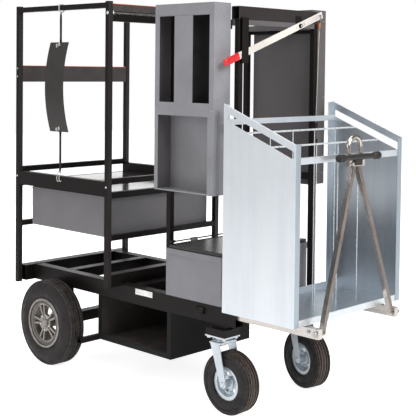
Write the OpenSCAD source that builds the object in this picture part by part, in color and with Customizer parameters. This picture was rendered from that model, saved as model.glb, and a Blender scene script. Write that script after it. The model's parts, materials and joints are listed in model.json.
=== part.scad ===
// Grip equipment cart: a square-tube frame on two road wheels and two casters,
// with shelves, lockers, a sheet-metal flag box, a tow handle and a parking brake.
// Frame: +X forwards to the casters, +Y to the right-hand lockers, +Z up, origin on
// the floor under the middle of the cart. Millimetres.

/* [Overall] */
// Length from the tall rear posts to the tips of the tow arms and the tow grip
cart_len = 1846; // [1820:2:1900]
// Width over the outer faces of the tall posts
cart_w = 736; // [716:2:756]
// Height of the tall posts, caps included
cart_h = 1738; // [1720:1780]
// Side of the square post tube
post = 25; // [22:28]
// Wall of the square tubes
tube_wall = 2; // [1.5:0.5:3]

/* [Chassis] */
// Height of the chassis rails' underside above the floor
rail_z = 367; // [360:372]
// Depth of a chassis rail
rail_h = 75; // [70:78]
// Width of a chassis rail
rail_w = 50; // [44:54]
// Distance from the centre plane to a rail's outer face
rail_y = 286; // [280:290]
// Underside of the open under-box
under_z = 157; // [150:180]

/* [Bays] */
// Length of the rear bay over its posts
bay_len = 711; // [700:720]
// Upper surface of the rear shelf
shelf_z = 869; // [860:874]
// Length of a locker
locker_len = 350; // [340:352]
// Depth of a locker
locker_d = 98; // [90:98]
// Height of a locker's underside above the floor
locker_z = 915; // [912:930]
// Top of the lockers
locker_top = 1707; // [1700:1720]

/* [Flag box] */
// Length of the flag box
flag_len = 373; // [366:376]
// Width of the flag box
flag_w = 724; // [710:730]
// Height of the flag box's floor
flag_z = 446; // [446:450]
// Top of the flag box at its rear
flag_rear = 1296; // [1280:1310]
// Top of the flag box at its front
flag_front = 1151; // [1140:1160]

/* [Wheels] */
// Outer radius of a rear tyre
tyre_r = 203; // [200:205]
// Outer radius of a caster tyre
caster_r = 130; // [126:131]
// Distance of a caster's axle from its swivel axis
caster_trail = 52; // [48:56]
// Angle at which the far caster stands at rest
far_caster_turn = -13; // [-30:30]

/* [Hidden] */
$fn = 48;

xr = -cart_len / 2;
post_y = cart_w / 2;
in_y = post_y - post;
rail_in = rail_y - rail_w;
rail_top = rail_z + rail_h;
cap_t = 3;
post_top = cart_h - cap_t;
top_rail_z = cart_h - post - 6;

// Stations along the cart, counted from the rear faces of the tall posts
mid_x = xr + bay_len - post;
mid_front = xr + bay_len;
rear_beam_x = xr + 54;
inner_x = xr + 985;
locker_x = xr + 1020;
front_x = xr + 1383;
rail_front = xr + 1427;
flag_x = xr + 1421;
flag_end = flag_x + flag_len;
arm_tip = xr + cart_len;
axle_x = xr + 287;
swivel_x = xr + 1331;

// Front bay
bay_y = 262;
bay_top = 1640;
beam_h = 55;
beam_front = front_x + post;
locker_back = bay_y + 10;
locker_front_y = locker_back + locker_d;
slot_z = 1293;
slot_h = 363;
pocket_top = 1237;
sheet = 2;

// Deck box
deck_x0 = xr + 1012;
deck_x1 = xr + 1343;
deck_top = 650;
mat_t = 16;
lid_gap = 0.6;
lid_x0 = deck_x0 + 2;
hinge_x = deck_x0 + 6;
hinge_z = deck_top + mat_t + 6;

// Under-box
under_x0 = xr + 552;
under_x1 = xr + 1046;
under_far = rail_in;

// Rear shelf and bin
fascia_h = 67;
fascia_z = 851;
panel_t = 7;
bin_x0 = xr + 118;
bin_x1 = xr + 672;
bin_y0 = -350;
bin_y1 = 320;
bin_z = 660;
bin_top = 846;

// Rear wheels
wheel_y = 357;
pin_r = 12.5;
tyre_sec = 54;
rim_half = 48;

// Casters
caster_y = 260;
caster_half = 42.5;
plate_z = 315;
bolt_r = 6.35;

// Parking brake
lever_x = front_x + post + 6;
lever_piv_y = 124;
lever_piv_z = 1627;
lever_slope = 19.4;
lever_bar_h = 29;
lever_bar_t = 6;
hook_dist = 152;
brake_piv_x = xr + 515;
brake_piv_z = 330;
bar_x = xr + 502;
bar_z = 150;

// Tow handle
tow_x = xr + 1834;
tow_z = 419;
arm_y0 = 248;
arm_y1 = 274;
apex_x = xr + 1808;
apex_z = 1062;

// Flag box
slot_drop = 32;
slot_tall = 31;
slot_rear = 17;
slot_front = 9;
flag_y = flag_w / 2;

module box(x0, x1, y0, y1, z0, z1) {
  translate([x0, y0, z0]) cube([x1 - x0, y1 - y0, z1 - z0]);
}

// Rectangular tube that fills a box and is open along one axis (0 = X, 1 = Y, 2 = Z)
module tube(x0, x1, y0, y1, z0, z1, axis, wall = tube_wall) {
  w = [for (i = [0:2]) i == axis ? -1 : wall];
  difference() {
    box(x0, x1, y0, y1, z0, z1);
    box(x0 + w[0], x1 - w[0], y0 + w[1], y1 - w[1], z0 + w[2], z1 - w[2]);
  }
}

module both_sides() {
  children();
  mirror([0, 1, 0]) children();
}

module rod_y(x, z, y0, y1, r) {
  translate([x, y1, z]) rotate([90, 0, 0]) cylinder(h = y1 - y0, r = r);
}

module rod_x(y, z, x0, x1, r) {
  translate([x0, y, z]) rotate([0, 90, 0]) cylinder(h = x1 - x0, r = r);
}

// Round bar between two points
module strut(a, b, r) {
  d = b - a;
  translate(a)
    rotate([0, acos(d[2] / norm(d)), atan2(d[1], d[0])])
      cylinder(h = norm(d), r = r);
}

// Square bar between two points in the YZ plane, lying back by the same slope in X
module square_strut(a, b, side) {
  d = b - a;
  translate(a)
    rotate([0, acos(d[2] / norm(d)), atan2(d[1], d[0])])
      rotate([0, 0, -atan2(d[1], d[0])])
        translate([-side / 2, -side / 2, 0]) cube([side, side, norm(d)]);
}

// Plain outline of two circles joined by their outer tangents
module link_2d(a, ra, b, rb) {
  d = b - a;
  g = atan2(d[1], d[0]);
  s = acos((ra - rb) / norm(d));
  translate(a) circle(r = ra);
  translate(b) circle(r = rb);
  polygon([
    a + ra * [cos(g + s), sin(g + s)], b + rb * [cos(g + s), sin(g + s)],
    b + rb * [cos(g - s), sin(g - s)], a + ra * [cos(g - s), sin(g - s)]
  ]);
}

// Chassis -------------------------------------------------------------------------------

module chassis_rail() {
  tube(rear_beam_x, rail_front, -rail_y, -rail_in, rail_z, rail_top, 0, 3);
}

module side_rails() {
  color("#2b2625") {
    chassis_rail();
    mirror([0, 1, 0]) chassis_rail();
  }
}

module rear_outrigger() {
  color("#2b2625") tube(xr, rear_beam_x, -in_y, in_y, rail_z, rail_top, 1, 3);
}

// Sits over both rails and carries the middle posts
module saddle_beam() {
  color("#2b2625") difference() {
    tube(mid_front - 50, mid_front, -in_y, in_y, rail_top - 10, rail_top + 48, 1, 3);
    both_sides() box(mid_front - 51, mid_front + 1, rail_in, rail_y, rail_top - 11, rail_top);
  }
}

module deck_cross_members() {
  color("#2b2625") for (x = [xr + 262, xr + 750, xr + 1330])
    tube(x, x + 50, -rail_in, rail_in, rail_top - 50, rail_top, 1, 3);
}

// Posts of the rear bay -----------------------------------------------------------------

module post_pair(x, foot) {
  both_sides() tube(x, x + post, -post_y, -in_y, foot, post_top, 2);
}

module tall_posts() {
  color("#2b2625") {
    post_pair(xr, rail_z - 9);
    post_pair(mid_x, rail_top - 10);
  }
}

module post_caps() {
  color("#1d1b1b") both_sides() for (x = [xr, mid_x])
    box(x, x + post, -post_y, -in_y, post_top, cart_h);
}

module top_side_rails() {
  color("#2b2625") both_sides()
    tube(xr + post, mid_x, -post_y, -in_y, top_rail_z, top_rail_z + post, 0);
}

module header_rail() {
  color("#2b2625") tube(mid_x, mid_front, -in_y, in_y, 1647, 1677, 1);
}

module header_rod() {
  color("#a39f9d") rod_y(mid_front - 9, 1685, -in_y, in_y, 8);
}

// Deep boards between the tall posts, for clamps
module clamp_boards() {
  color("#3b3534") {
    box(mid_front - 20, mid_front - 2, -in_y, in_y, 1693, 1725);
    box(xr + 5, xr + 23, -in_y, in_y, 1363, 1442);
  }
}

module board_edge_strips() {
  color("#e2552f") {
    box(mid_front - 20, mid_front - 2, -in_y, in_y, 1725, 1728);
    box(xr + 5, xr + 23, -in_y, in_y, 1442, 1445);
  }
}

// Rear shelf and storage bin ------------------------------------------------------------

module shelf_fascias() {
  color("#2b2625") both_sides()
    tube(xr + post, mid_x, -post_y, -in_y + 5, fascia_z, fascia_z + fascia_h, 0);
}

module bay_cross_rails() {
  color("#2b2625") {
    tube(xr, xr + post, -in_y, in_y, 912, 939, 1);
    tube(mid_x, mid_front, -in_y, in_y, 904, 931, 1);
    tube(mid_x, mid_front, -in_y, in_y, shelf_z - 27, shelf_z, 1);
    tube(xr, xr + post, -in_y, in_y, shelf_z - 27, shelf_z, 1);
    tube(xr, xr + post, -in_y, in_y, 640, 666, 1);
    tube(mid_x, mid_front, -in_y, in_y, 646, 670, 1);
  }
}

module shelf_panel() {
  color("#4a4648") box(xr + post, mid_x, -in_y + 5, in_y - 5, shelf_z - panel_t, shelf_z);
}

// Angle slides under the shelf that carry the bin's flanges
module bin_slides() {
  color("#2b2625") for (s = [0, 1]) {
    x = s == 0 ? bin_x0 - 14 : bin_x1 + 12;
    box(x, x + 2, -in_y + 6, in_y - 6, 838, shelf_z - panel_t);
    box(x - s * 10, x + 2 + (1 - s) * 10, -in_y + 6, in_y - 6, 836, 838);
  }
}

module storage_bin() {
  color("#77767a") {
    difference() {
      box(bin_x0, bin_x1, bin_y0, bin_y1, bin_z, bin_top);
      box(bin_x0 + sheet, bin_x1 - sheet, bin_y0 + sheet, bin_y1 - sheet, bin_z + sheet, bin_top + 1);
    }
    box(bin_x0 - 11, bin_x0, bin_y0, bin_y1, 838.2, 840.2);
    box(bin_x1, bin_x1 + 11, bin_y0, bin_y1, 838.2, 840.2);
  }
}

// Plate bowed outwards, held by the bungee ----------------------------------------------

plate_x = xr + 351;
plate_w = 138;
plate_z0 = 1129;
plate_z1 = 1556;
plate_bow = 33;
plate_t = 5;
bow_r = (pow((plate_z1 - plate_z0) / 2, 2) + pow(plate_bow, 2)) / (2 * plate_bow);
bow_a = asin((plate_z1 - plate_z0) / 2 / bow_r);
plate_y = -post_y - 1;

module flex_plate() {
  zc = (plate_z0 + plate_z1) / 2;
  color("#35302f") difference() {
    intersection() {
      translate([plate_x, plate_y - plate_bow + bow_r, zc]) rotate([0, 90, 0])
        difference() {
          cylinder(h = plate_w, r = bow_r, center = true, $fn = 96);
          cylinder(h = plate_w + 2, r = bow_r - plate_t, center = true, $fn = 96);
        }
      box(plate_x - plate_w / 2, plate_x + plate_w / 2, plate_y - 60, plate_y + 8, plate_z0, plate_z1);
    }
    for (z = [plate_z0 + 14, plate_z1 - 14])
      rod_y(plate_x, z, plate_y - 80, plate_y + 80, 5);
  }
}

// Cord: round the top rail, down behind the plate's ends, and hooked over the fascia
cord_r = 3;
cord_y = plate_y + 9;

module bungee_cord() {
  y0 = -post_y - cord_r;
  y1 = -in_y + cord_r;
  z0 = top_rail_z - cord_r;
  z1 = top_rail_z + post + cord_r;
  top = fascia_z + fascia_h + cord_r;
  ball = cord_r + 0.3;
  color("#25211f") {
    for (z = [z0, z1]) rod_y(plate_x, z, y0, y1, cord_r);
    for (y = [y0, y1]) translate([plate_x, y, z0]) cylinder(h = z1 - z0, r = cord_r);
    for (y = [y0, y1], z = [z0, z1]) translate([plate_x, y, z]) sphere(r = ball);
    translate([plate_x, cord_y, top]) cylinder(h = plate_z0 + 14 - top, r = cord_r);
    translate([plate_x, cord_y, plate_z1 - 14]) cylinder(h = z0 - plate_z1 + 14, r = cord_r);
    for (z = [plate_z0 + 14, plate_z1 - 14]) {
      rod_y(plate_x, z, plate_y - 11.6, cord_y, cord_r);
      translate([plate_x, cord_y, z]) sphere(r = ball);
      translate([plate_x, plate_y - 11.6, z]) sphere(r = 6.5);
    }
  }
  color("#e9e7e4") {
    rod_y(plate_x, top, y0, -in_y + 8.1, cord_r);
    for (y = [y0, -in_y + 8.1]) {
      translate([plate_x, y, top - 30]) cylinder(h = 30, r = cord_r);
      for (z = [top, top - 30]) translate([plate_x, y, z]) sphere(r = ball);
    }
  }
}

// Front bay and lockers -----------------------------------------------------------------

module front_bay_posts() {
  color("#2b2625") both_sides() for (x = [inner_x, front_x])
    tube(x, x + post, -bay_y, -bay_y + post, rail_top, bay_top, 2);
}

// Side rails under the lockers' tops, and the cross rail under the front beam
module bay_top_rails() {
  color("#6a6669") {
    both_sides()
      tube(inner_x + post, front_x, -bay_y, -bay_y + post, bay_top - post, bay_top, 0);
    tube(front_x, front_x + post, -bay_y + post, bay_y - post, bay_top - 22, bay_top, 1);
  }
}

module front_beam() {
  color("#3a3536")
    tube(beam_front - 44, beam_front, -bay_y, bay_y, bay_top, bay_top + beam_h, 1, 3);
}

module locker_hangers() {
  color("#2b2625") both_sides() {
    box(inner_x, xr + 1370, -bay_y - 10, -bay_y, bay_top - 40, bay_top - 2);
    box(inner_x, front_x + post, -bay_y - 10, -bay_y, 940, 970);
  }
}

module locker() {
  x0 = locker_x;
  x1 = locker_x + locker_len;
  y0 = -locker_front_y;
  y1 = -locker_back;
  difference() {
    box(x0, x1, y0, y1, locker_z, locker_top);
    // hollow above and below the shelf at the foot of the slots
    box(x0 + sheet, x1 - sheet, y0 + sheet, y1 - sheet, pocket_top + sheet, locker_top - sheet);
    box(x0 + sheet, x1 - sheet, y0 + sheet, y1 - sheet, locker_z + sheet, pocket_top);
    // open pocket and the two tall slots
    box(x0 + 21, x1 - 35, y0 - 1, y0 + sheet + 1, locker_z + 6, pocket_top);
    for (s = [[28, 118], [227, 323]])
      box(x0 + s[0], x0 + s[1], y0 - 1, y0 + sheet + 1, slot_z, slot_z + slot_h);
    // shadow line under the cap band
    box(x0 - 1, x1 + 1, y0 - 1, y0 + 0.6, slot_z + slot_h + 1, slot_z + slot_h + 2.5);
  }
}

module near_locker() {
  color("#9d9da1") locker();
}

module far_locker() {
  color("#9d9da1") mirror([0, 1, 0]) locker();
}

// Dark lining behind the slots
module locker_liners() {
  color("#151414") both_sides()
    box(locker_x + sheet, locker_x + locker_len - sheet, -locker_back - sheet - 4,
      -locker_back - sheet, pocket_top + sheet, locker_top - sheet);
}

// Deck box ------------------------------------------------------------------------------

module deck_box() {
  color("#87868a") difference() {
    box(deck_x0, deck_x1, -rail_y, rail_y, rail_top, deck_top - sheet - lid_gap);
    box(deck_x0 + sheet, deck_x1 - sheet, -rail_y + sheet, rail_y - sheet,
      rail_top + sheet, deck_top);
  }
}

module deck_lid() {
  y = rail_y + sheet + lid_gap;
  color("#87868a") {
    box(lid_x0, deck_x1 + sheet + lid_gap, -y, y, deck_top - sheet, deck_top);
    box(lid_x0, deck_x1 + sheet + lid_gap, -y, -y + sheet, deck_top - 28, deck_top);
    box(lid_x0, deck_x1 + sheet + lid_gap, y - sheet, y, deck_top - 28, deck_top);
    box(deck_x1 + lid_gap, deck_x1 + sheet + lid_gap, -y, y, deck_top - 28, deck_top);
    // hinge knuckles behind the mat
    for (s = [-1, 1]) translate([hinge_x, s * 120 - 20, hinge_z]) difference() {
      union() {
        rotate([-90, 0, 0]) cylinder(h = 40, r = 6);
        translate([0, 0, deck_top - hinge_z]) cube([6, 40, hinge_z - deck_top]);
      }
      translate([0, -1, 0]) rotate([-90, 0, 0]) cylinder(h = 42, r = 3.05);
    }
  }
}

module lid_mat() {
  color("#171516")
    box(deck_x0 + 16, deck_x1, -rail_y + 2, rail_y - 2, deck_top, deck_top + mat_t);
}

// Fixed pin and its brackets, carried by the inner posts
module lid_hinge() {
  color("#8e8c8e") {
    rod_y(hinge_x, hinge_z, -rail_in - 1, rail_in + 1, 3);
    both_sides() {
      box(inner_x + post, hinge_x, -bay_y, -rail_in - 1, hinge_z - 5, hinge_z + 5);
      rod_y(hinge_x, hinge_z, -bay_y, -rail_in - 1, 5.4);
    }
  }
}

// Under-box -----------------------------------------------------------------------------

module under_box() {
  color("#1a1817") difference() {
    box(under_x0, under_x1, -rail_y, under_far, under_z, rail_z);
    box(under_x0 + 3, under_x1 - 3, -rail_y + 3, under_far - 3, under_z + 3, rail_z - 3);
    box(under_x0 + 28, under_x1 - 26, -rail_y - 1, -rail_y + 4, under_z + 27, rail_z - 3);
  }
}

// Rear axle and wheels ------------------------------------------------------------------

module axle_beam() {
  color("#2b2625") tube(axle_x - 25, axle_x + 25, -292, 292, tyre_r - 25, tyre_r + 25, 1, 4);
}

module axle_hangers() {
  color("#2b2625") both_sides()
    tube(axle_x - 28, axle_x + 28, -278, -244, tyre_r + 25, rail_z, 2, 3);
}

module stub_axles() {
  color("#b9b9ba") both_sides() {
    rod_y(axle_x, tyre_r, -wheel_y - 34, -292, pin_r);
    rod_y(axle_x, tyre_r, -wheel_y + 31, -297, 20);
    box(axle_x - 25, axle_x + 25, -298, -292, tyre_r - 25, tyre_r + 25);
  }
}

module tyre_section() {
  difference() {
    union() {
      translate([tyre_r - tyre_sec, 0]) circle(r = tyre_sec, $fn = 96);
      translate([tyre_r - 16, -37]) square([14.5, 74]);
      translate([tyre_r - 14, -34]) square([14, 68]);
    }
    translate([tyre_r - tyre_sec, 0]) circle(r = tyre_sec - 9, $fn = 96);
    translate([0, -60]) square([101, 120]);
    for (s = [-1, 1]) {
      translate([100, s > 0 ? rim_half - 9.4 : -60]) square([20.4, 60 - rim_half + 9.4]);
      translate([tyre_r - 5, s * 13 - 2]) square([6, 4]);
    }
    translate([tyre_r - 5, -2]) square([6, 4]);
  }
}

module rear_tyre() {
  color("#2f2b2b") rotate([90, 0, 0]) rotate_extrude($fn = 120) tyre_section();
}

// Pressed barrel with a flange at each end and an inner lip for the spider
module rear_rim() {
  color("#c3c1c2") rotate([90, 0, 0]) rotate_extrude($fn = 120) {
    translate([94, -rim_half]) square([7, 2 * rim_half]);
    for (s = [-1, 1]) translate([94, s > 0 ? rim_half - 9 : -rim_half]) square([25, 9]);
    translate([88, 20]) square([7, 4]);
  }
}

// Five split spokes on a hub, seated against the barrel's lip
module rear_spider() {
  color("#c3c1c2") rotate([90, 0, 0]) difference() {
    union() {
      translate([0, 0, 24]) linear_extrude(height = 16) {
        difference() {
          circle(r = 93.9, $fn = 120);
          circle(r = 86, $fn = 120);
        }
        circle(r = 41);
        for (k = [0:4], s = [-1, 1]) rotate([0, 0, 72 * k + 36 + s * 10])
          translate([30, -4.5]) square([58, 9]);
      }
      translate([0, 0, -30]) cylinder(h = 62, r = 26);
      translate([0, 0, 32]) cylinder(h = 12, r = 24);
      translate([0, 0, 44]) cylinder(h = 4, r = 17);
    }
    translate([0, 0, -31]) cylinder(h = 66, r = pin_r + 0.05);
    for (k = [0:4]) rotate([0, 0, 72 * k + 36]) translate([34, 0, 36]) cylinder(h = 20, r = 5);
  }
}

module at_near_wheel() {
  translate([axle_x, -wheel_y, tyre_r]) children();
}

module at_far_wheel() {
  translate([axle_x, wheel_y, tyre_r]) rotate([0, 0, 180]) children();
}

module rear_rim_near() { at_near_wheel() rear_rim(); }
module rear_spider_near() { at_near_wheel() rear_spider(); }
module rear_tyre_near() { at_near_wheel() rear_tyre(); }
module rear_rim_far() { at_far_wheel() rear_rim(); }
module rear_spider_far() { at_far_wheel() rear_spider(); }
module rear_tyre_far() { at_far_wheel() rear_tyre(); }

// Casters -------------------------------------------------------------------------------

// Riser block, zinc top plate with its bolts, and the kingpin
module caster_mount() {
  color("#2b2625") {
    box(-40, 40, -24, 24, 352, rail_z);
    box(-54, 54, -46, 46, plate_z + 6, 352);
  }
  color("#c9cccf") {
    box(-55.5, 55.5, -48, 48, plate_z, plate_z + 6);
    for (x = [-44, 44], y = [-36, 36])
      translate([x, y, plate_z - 8]) cylinder(h = 8, r = 8, $fn = 6);
    translate([0, 0, 303]) cylinder(h = plate_z - 303, r = 31);
    translate([0, 0, 280]) cylinder(h = 24, r = 8);
    translate([0, 0, 276]) cylinder(h = 10, r = 14);
  }
}

// Swivelling fork with the wheel's bolt
module caster_fork() {
  color("#c9cccf") {
    difference() {
      union() {
        translate([0, 0, 290]) cylinder(h = 12.5, r = 36);
        box(-26, 34, -52, 52, 291, 297);
      }
      translate([0, 0, 280]) cylinder(h = 30, r = 8.05);
    }
    for (s = [-1, 1]) translate([0, s > 0 ? 52 : -47, 0]) rotate([90, 0, 0])
      linear_extrude(height = 5) {
        polygon([[-22, 293], [30, 293],
          [caster_trail + 16, caster_r + 4], [caster_trail - 16, caster_r - 3]]);
        translate([caster_trail, caster_r]) circle(r = 17);
      }
    rod_y(caster_trail, caster_r, -54, 54, bolt_r);
    for (s = [-1, 1]) translate([caster_trail, s > 0 ? 60 : -52, caster_r]) rotate([90, 0, 0])
      cylinder(h = 8, r = 11, $fn = 6);
  }
}

module caster_rim() {
  color("#d3d6d9") rotate([90, 0, 0]) difference() {
    union() {
      rotate_extrude($fn = 96) {
        translate([54, -30]) square([6, 60]);
        for (s = [-1, 1]) translate([54, s > 0 ? 26 : -30]) square([17, 4]);
      }
      translate([0, 0, -3]) cylinder(h = 6, r = 55, $fn = 96);
      translate([0, 0, -46]) cylinder(h = 92, r = 16);
      translate([0, 0, -14]) cylinder(h = 28, r = 24);
    }
    translate([0, 0, -47]) cylinder(h = 94, r = bolt_r + 0.05);
    for (k = [0:5]) rotate([0, 0, 60 * k]) translate([39, 0, -10]) cylinder(h = 20, r = 9);
  }
}

module caster_tyre() {
  color("#2f2b2b") rotate([90, 0, 0]) rotate_extrude($fn = 96) difference() {
    union() {
      translate([caster_r - 42.5, 0]) circle(r = 41, $fn = 96);
      translate([caster_r - 14, -32]) square([14, 64]);
      translate([caster_r - 20, -37]) square([14, 74]);
    }
    translate([0, -50]) square([60, 100]);
    for (s = [-1, 1]) {
      translate([50, s > 0 ? 25.6 : -60]) square([21.4, 34.4]);
      translate([caster_r - 5, s * 11 - 2]) square([6, 4]);
      translate([caster_r - 5, s * 22 - 1.5]) square([6, 3]);
    }
    translate([caster_r - 5, -1.5]) square([6, 3]);
  }
}

module at_near_caster() {
  translate([swivel_x, -caster_y, 0]) children();
}

module at_far_caster() {
  translate([swivel_x, caster_y, 0]) rotate([0, 0, far_caster_turn]) children();
}

module on_caster_axle() {
  translate([caster_trail, 0, caster_r]) children();
}

module caster_mounts() {
  for (s = [-1, 1]) translate([swivel_x, s * caster_y, 0]) caster_mount();
}

module caster_fork_near() { at_near_caster() caster_fork(); }
module caster_rim_near() { at_near_caster() on_caster_axle() caster_rim(); }
module caster_tyre_near() { at_near_caster() on_caster_axle() caster_tyre(); }
module caster_fork_far() { at_far_caster() caster_fork(); }
module caster_rim_far() { at_far_caster() on_caster_axle() caster_rim(); }
module caster_tyre_far() { at_far_caster() on_caster_axle() caster_tyre(); }

// Parking brake -------------------------------------------------------------------------

// Local frame of the lever: origin on the pivot, +X along the bar towards the cable end
module on_lever() {
  translate([lever_x, lever_piv_y, lever_piv_z])
    rotate([lever_slope, 0, 0]) rotate([0, 0, 90]) rotate([90, 0, 0]) children();
}

module brake_lever() {
  color("#ebe3de") on_lever() translate([0, 0, -lever_bar_t / 2])
    linear_extrude(height = lever_bar_t) difference() {
      translate([-425, -lever_bar_h / 2]) square([425 + hook_dist + 16, lever_bar_h]);
      circle(r = 5.05);
      translate([hook_dist, 0]) circle(r = 5);
    }
}

module lever_grip() {
  color("#e0242a") on_lever() difference() {
    translate([-508, -15, -10]) cube([88, 30, 20]);
    translate([-426, -lever_bar_h / 2, -lever_bar_t / 2]) cube([8, lever_bar_h, lever_bar_t]);
  }
}

// Pivot bolt on its plate, and the keeper that the lever rests in
module lever_bracket() {
  x1 = lever_x - lever_bar_t / 2 - 0.5;
  x2 = lever_x + lever_bar_t / 2 + 1;
  color("#2b2625") {
    box(beam_front, x1, lever_piv_y - 20, lever_piv_y + 20, lever_piv_z - 20, bay_top + 30);
    rod_x(lever_piv_y, lever_piv_z, x1, x2, 5);
    rod_x(lever_piv_y, lever_piv_z, x2, x2 + 6, 9);
    // keeper: arm in front of the lever, bridge above and foot below it
    box(x2 + 1, x2 + 4, -256, -218, 1462, bay_top + 4);
    box(beam_front, x2 + 4, -256, -218, bay_top + 4, bay_top + 7);
    box(beam_front, x2 + 4, -256, -237, 1459, 1462);
  }
}

// Inner wire with its clevis and sleeve, hung from the lever's end
guide_y = 247;
guide_z = 1189;
wire_r = 1.25;
cable_top = [lever_x, lever_piv_y + hook_dist * cos(lever_slope),
  lever_piv_z + hook_dist * sin(lever_slope)];
cable_drop = cable_top - [lever_x, guide_y, guide_z - 4];
cable_slope = atan2(cable_drop[1], cable_drop[2]);

module brake_cable() {
  translate(cable_top) rotate([-cable_slope, 0, 0]) {
    color("#b8b4b0") {
      rod_x(0, 0, -7, 7, 2);
      for (s = [-1, 1]) box(5 * s - 1, 5 * s + 1, -2.8, 2.8, -27, 3);
      box(-6, 6, -2.8, 2.8, -29, -25);
      translate([0, 0, -norm(cable_drop)]) cylinder(h = norm(cable_drop) - 27, r = wire_r);
    }
    color("#e2732f") translate([0, 0, -56]) cylinder(h = 24, r = 5);
  }
}

// Casing of the same cable: down the front post and back along the far rail
casing_r = 3.4;
casing_y = rail_in - 6;
casing_path = [
  [lever_x, guide_y, 1122],
  [lever_x, guide_y, 520],
  [lever_x, casing_y, 455],
  [lever_x, casing_y, 400],
  [lever_x - 20, casing_y, 380],
  [brake_piv_x + 24, casing_y, 380],
  [brake_piv_x + 10, casing_y, 352]
];

module cable_casing() {
  last = len(casing_path) - 1;
  color("#1d1b1b") {
    for (i = [1:last]) strut(casing_path[i - 1], casing_path[i], casing_r);
    for (i = [1:last - 1]) translate(casing_path[i]) sphere(r = casing_r + 0.25);
  }
}

// Bar across the cart that presses two pads on the rear tyres
module brake_bar() {
  color("#2b2625") {
    tube(bar_x - 12, bar_x + 12, -360, 360, bar_z - 12, bar_z + 12, 1);
    both_sides() translate([0, -216, 0]) rotate([90, 0, 0]) linear_extrude(height = 8)
      difference() {
        link_2d([brake_piv_x, brake_piv_z], 14, [bar_x + 1, bar_z + 8], 10);
        translate([brake_piv_x, brake_piv_z]) circle(r = 6.05);
      }
  }
}

module brake_pads() {
  color("#1d1b1b") both_sides() difference() {
    box(bar_x - 26, bar_x - 12, -378, -330, bar_z - 18, bar_z + 14);
    rod_y(axle_x, tyre_r, -400, -300, tyre_r + 0.8, $fn = 180);
  }
}

// Flag box ------------------------------------------------------------------------------

function flag_top_at(x) = flag_rear + (flag_front - flag_rear) * (x - flag_x) / flag_len;

module flag_panel() {
  s0 = flag_x + slot_rear;
  s1 = flag_end - slot_front;
  translate([0, -flag_y + sheet, 0]) rotate([90, 0, 0]) linear_extrude(height = sheet)
    difference() {
      polygon([[flag_x, flag_z], [flag_end, flag_z], [flag_end, flag_front], [flag_x, flag_rear]]);
      polygon([
        [s0, flag_top_at(s0) - slot_drop], [s1, flag_top_at(s1) - slot_drop],
        [s1, flag_top_at(s1) - slot_drop - slot_tall], [s0, flag_top_at(s0) - slot_drop - slot_tall]
      ]);
    }
  // turned-in front and rear edges
  box(flag_end - sheet, flag_end, -flag_y + sheet, -flag_y + 32, flag_z, flag_front - 2);
  box(flag_x, flag_x + sheet, -flag_y + sheet, -flag_y + 32, flag_z, flag_rear - 4);
}

module flag_panels() {
  color("#dfe4e8") both_sides() flag_panel();
}

module flag_rails() {
  y = flag_y - sheet;
  color("#cfd6da") {
    box(flag_x + sheet, flag_end - sheet, -y, y, flag_z, flag_z + 2);
    box(flag_x + sheet, flag_x + 14, -y, y, 1209, 1232);
    box(flag_end - 14, flag_end - sheet, -y, y, 1072, 1098);
    box(flag_end - 4, flag_end - sheet, -y, y, flag_z + 2, flag_z + 27);
    box(flag_x + sheet, flag_x + 4, -y, y, flag_z + 2, flag_z + 30);
  }
}

module flag_dividers() {
  y = flag_y - sheet;
  color("#c6ccd0") for (d = [[124, 1182], [248, 1133]]) {
    rod_y(flag_x + d[0], d[1], -y, y, 4);
    for (w = [-218, -73, 73, 218])
      translate([flag_x + d[0], w, flag_z + 2]) cylinder(h = d[1] - flag_z - 2, r = 2);
  }
}

// Tow arms and handle -------------------------------------------------------------------

module tow_arms() {
  color("#e8e0da") both_sides() difference() {
    box(rail_front - 100, arm_tip, -arm_y1, -arm_y0, 399, rail_top - 3);
    rod_y(tow_x, tow_z, -arm_y1 - 1, -arm_y0 + 1, 5);
  }
}

module tow_handle() {
  loop_x = apex_x - 3.5;
  loop_z = apex_z + 62;
  color("#c9bdb3") {
    both_sides() difference() {
      union() {
        rod_y(tow_x, tow_z, -247, -227, 12);
        square_strut([tow_x, -237, tow_z], [apex_x, -11, apex_z], 20);
      }
      rod_y(tow_x, tow_z, -256, -216, 5.05);
    }
    // apex block and the towing loop
    box(apex_x - 10, apex_x + 12, -52, 52, apex_z - 12, apex_z + 12);
    translate([loop_x, 0, loop_z]) rotate([90, 0, 90])
      rotate_extrude(angle = 180, $fn = 96) translate([42, 0]) circle(r = 10);
    for (s = [-1, 1])
      translate([loop_x, s * 42, apex_z]) cylinder(h = loop_z - apex_z, r = 10);
    // latch lever below the apex
    rod_x(-34, apex_z - 2, apex_x + 10, apex_x + 18, 7);
    strut([apex_x + 14, -34, apex_z - 2], [apex_x + 14, -46, apex_z - 52], 4);
  }
}

// Cross grip in front of the apex
module tow_grip() {
  color("#2a2626") {
    rod_y(apex_x + 20, apex_z + 26, -140, 140, 13);
    for (s = [-1, 1]) rod_y(apex_x + 20, apex_z + 26, s * 124 - 20, s * 124 + 20, 18);
    box(apex_x + 12, apex_x + 20, -26, 26, apex_z - 8, apex_z + 26);
  }
}

// Small fixed fittings ------------------------------------------------------------------

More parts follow.
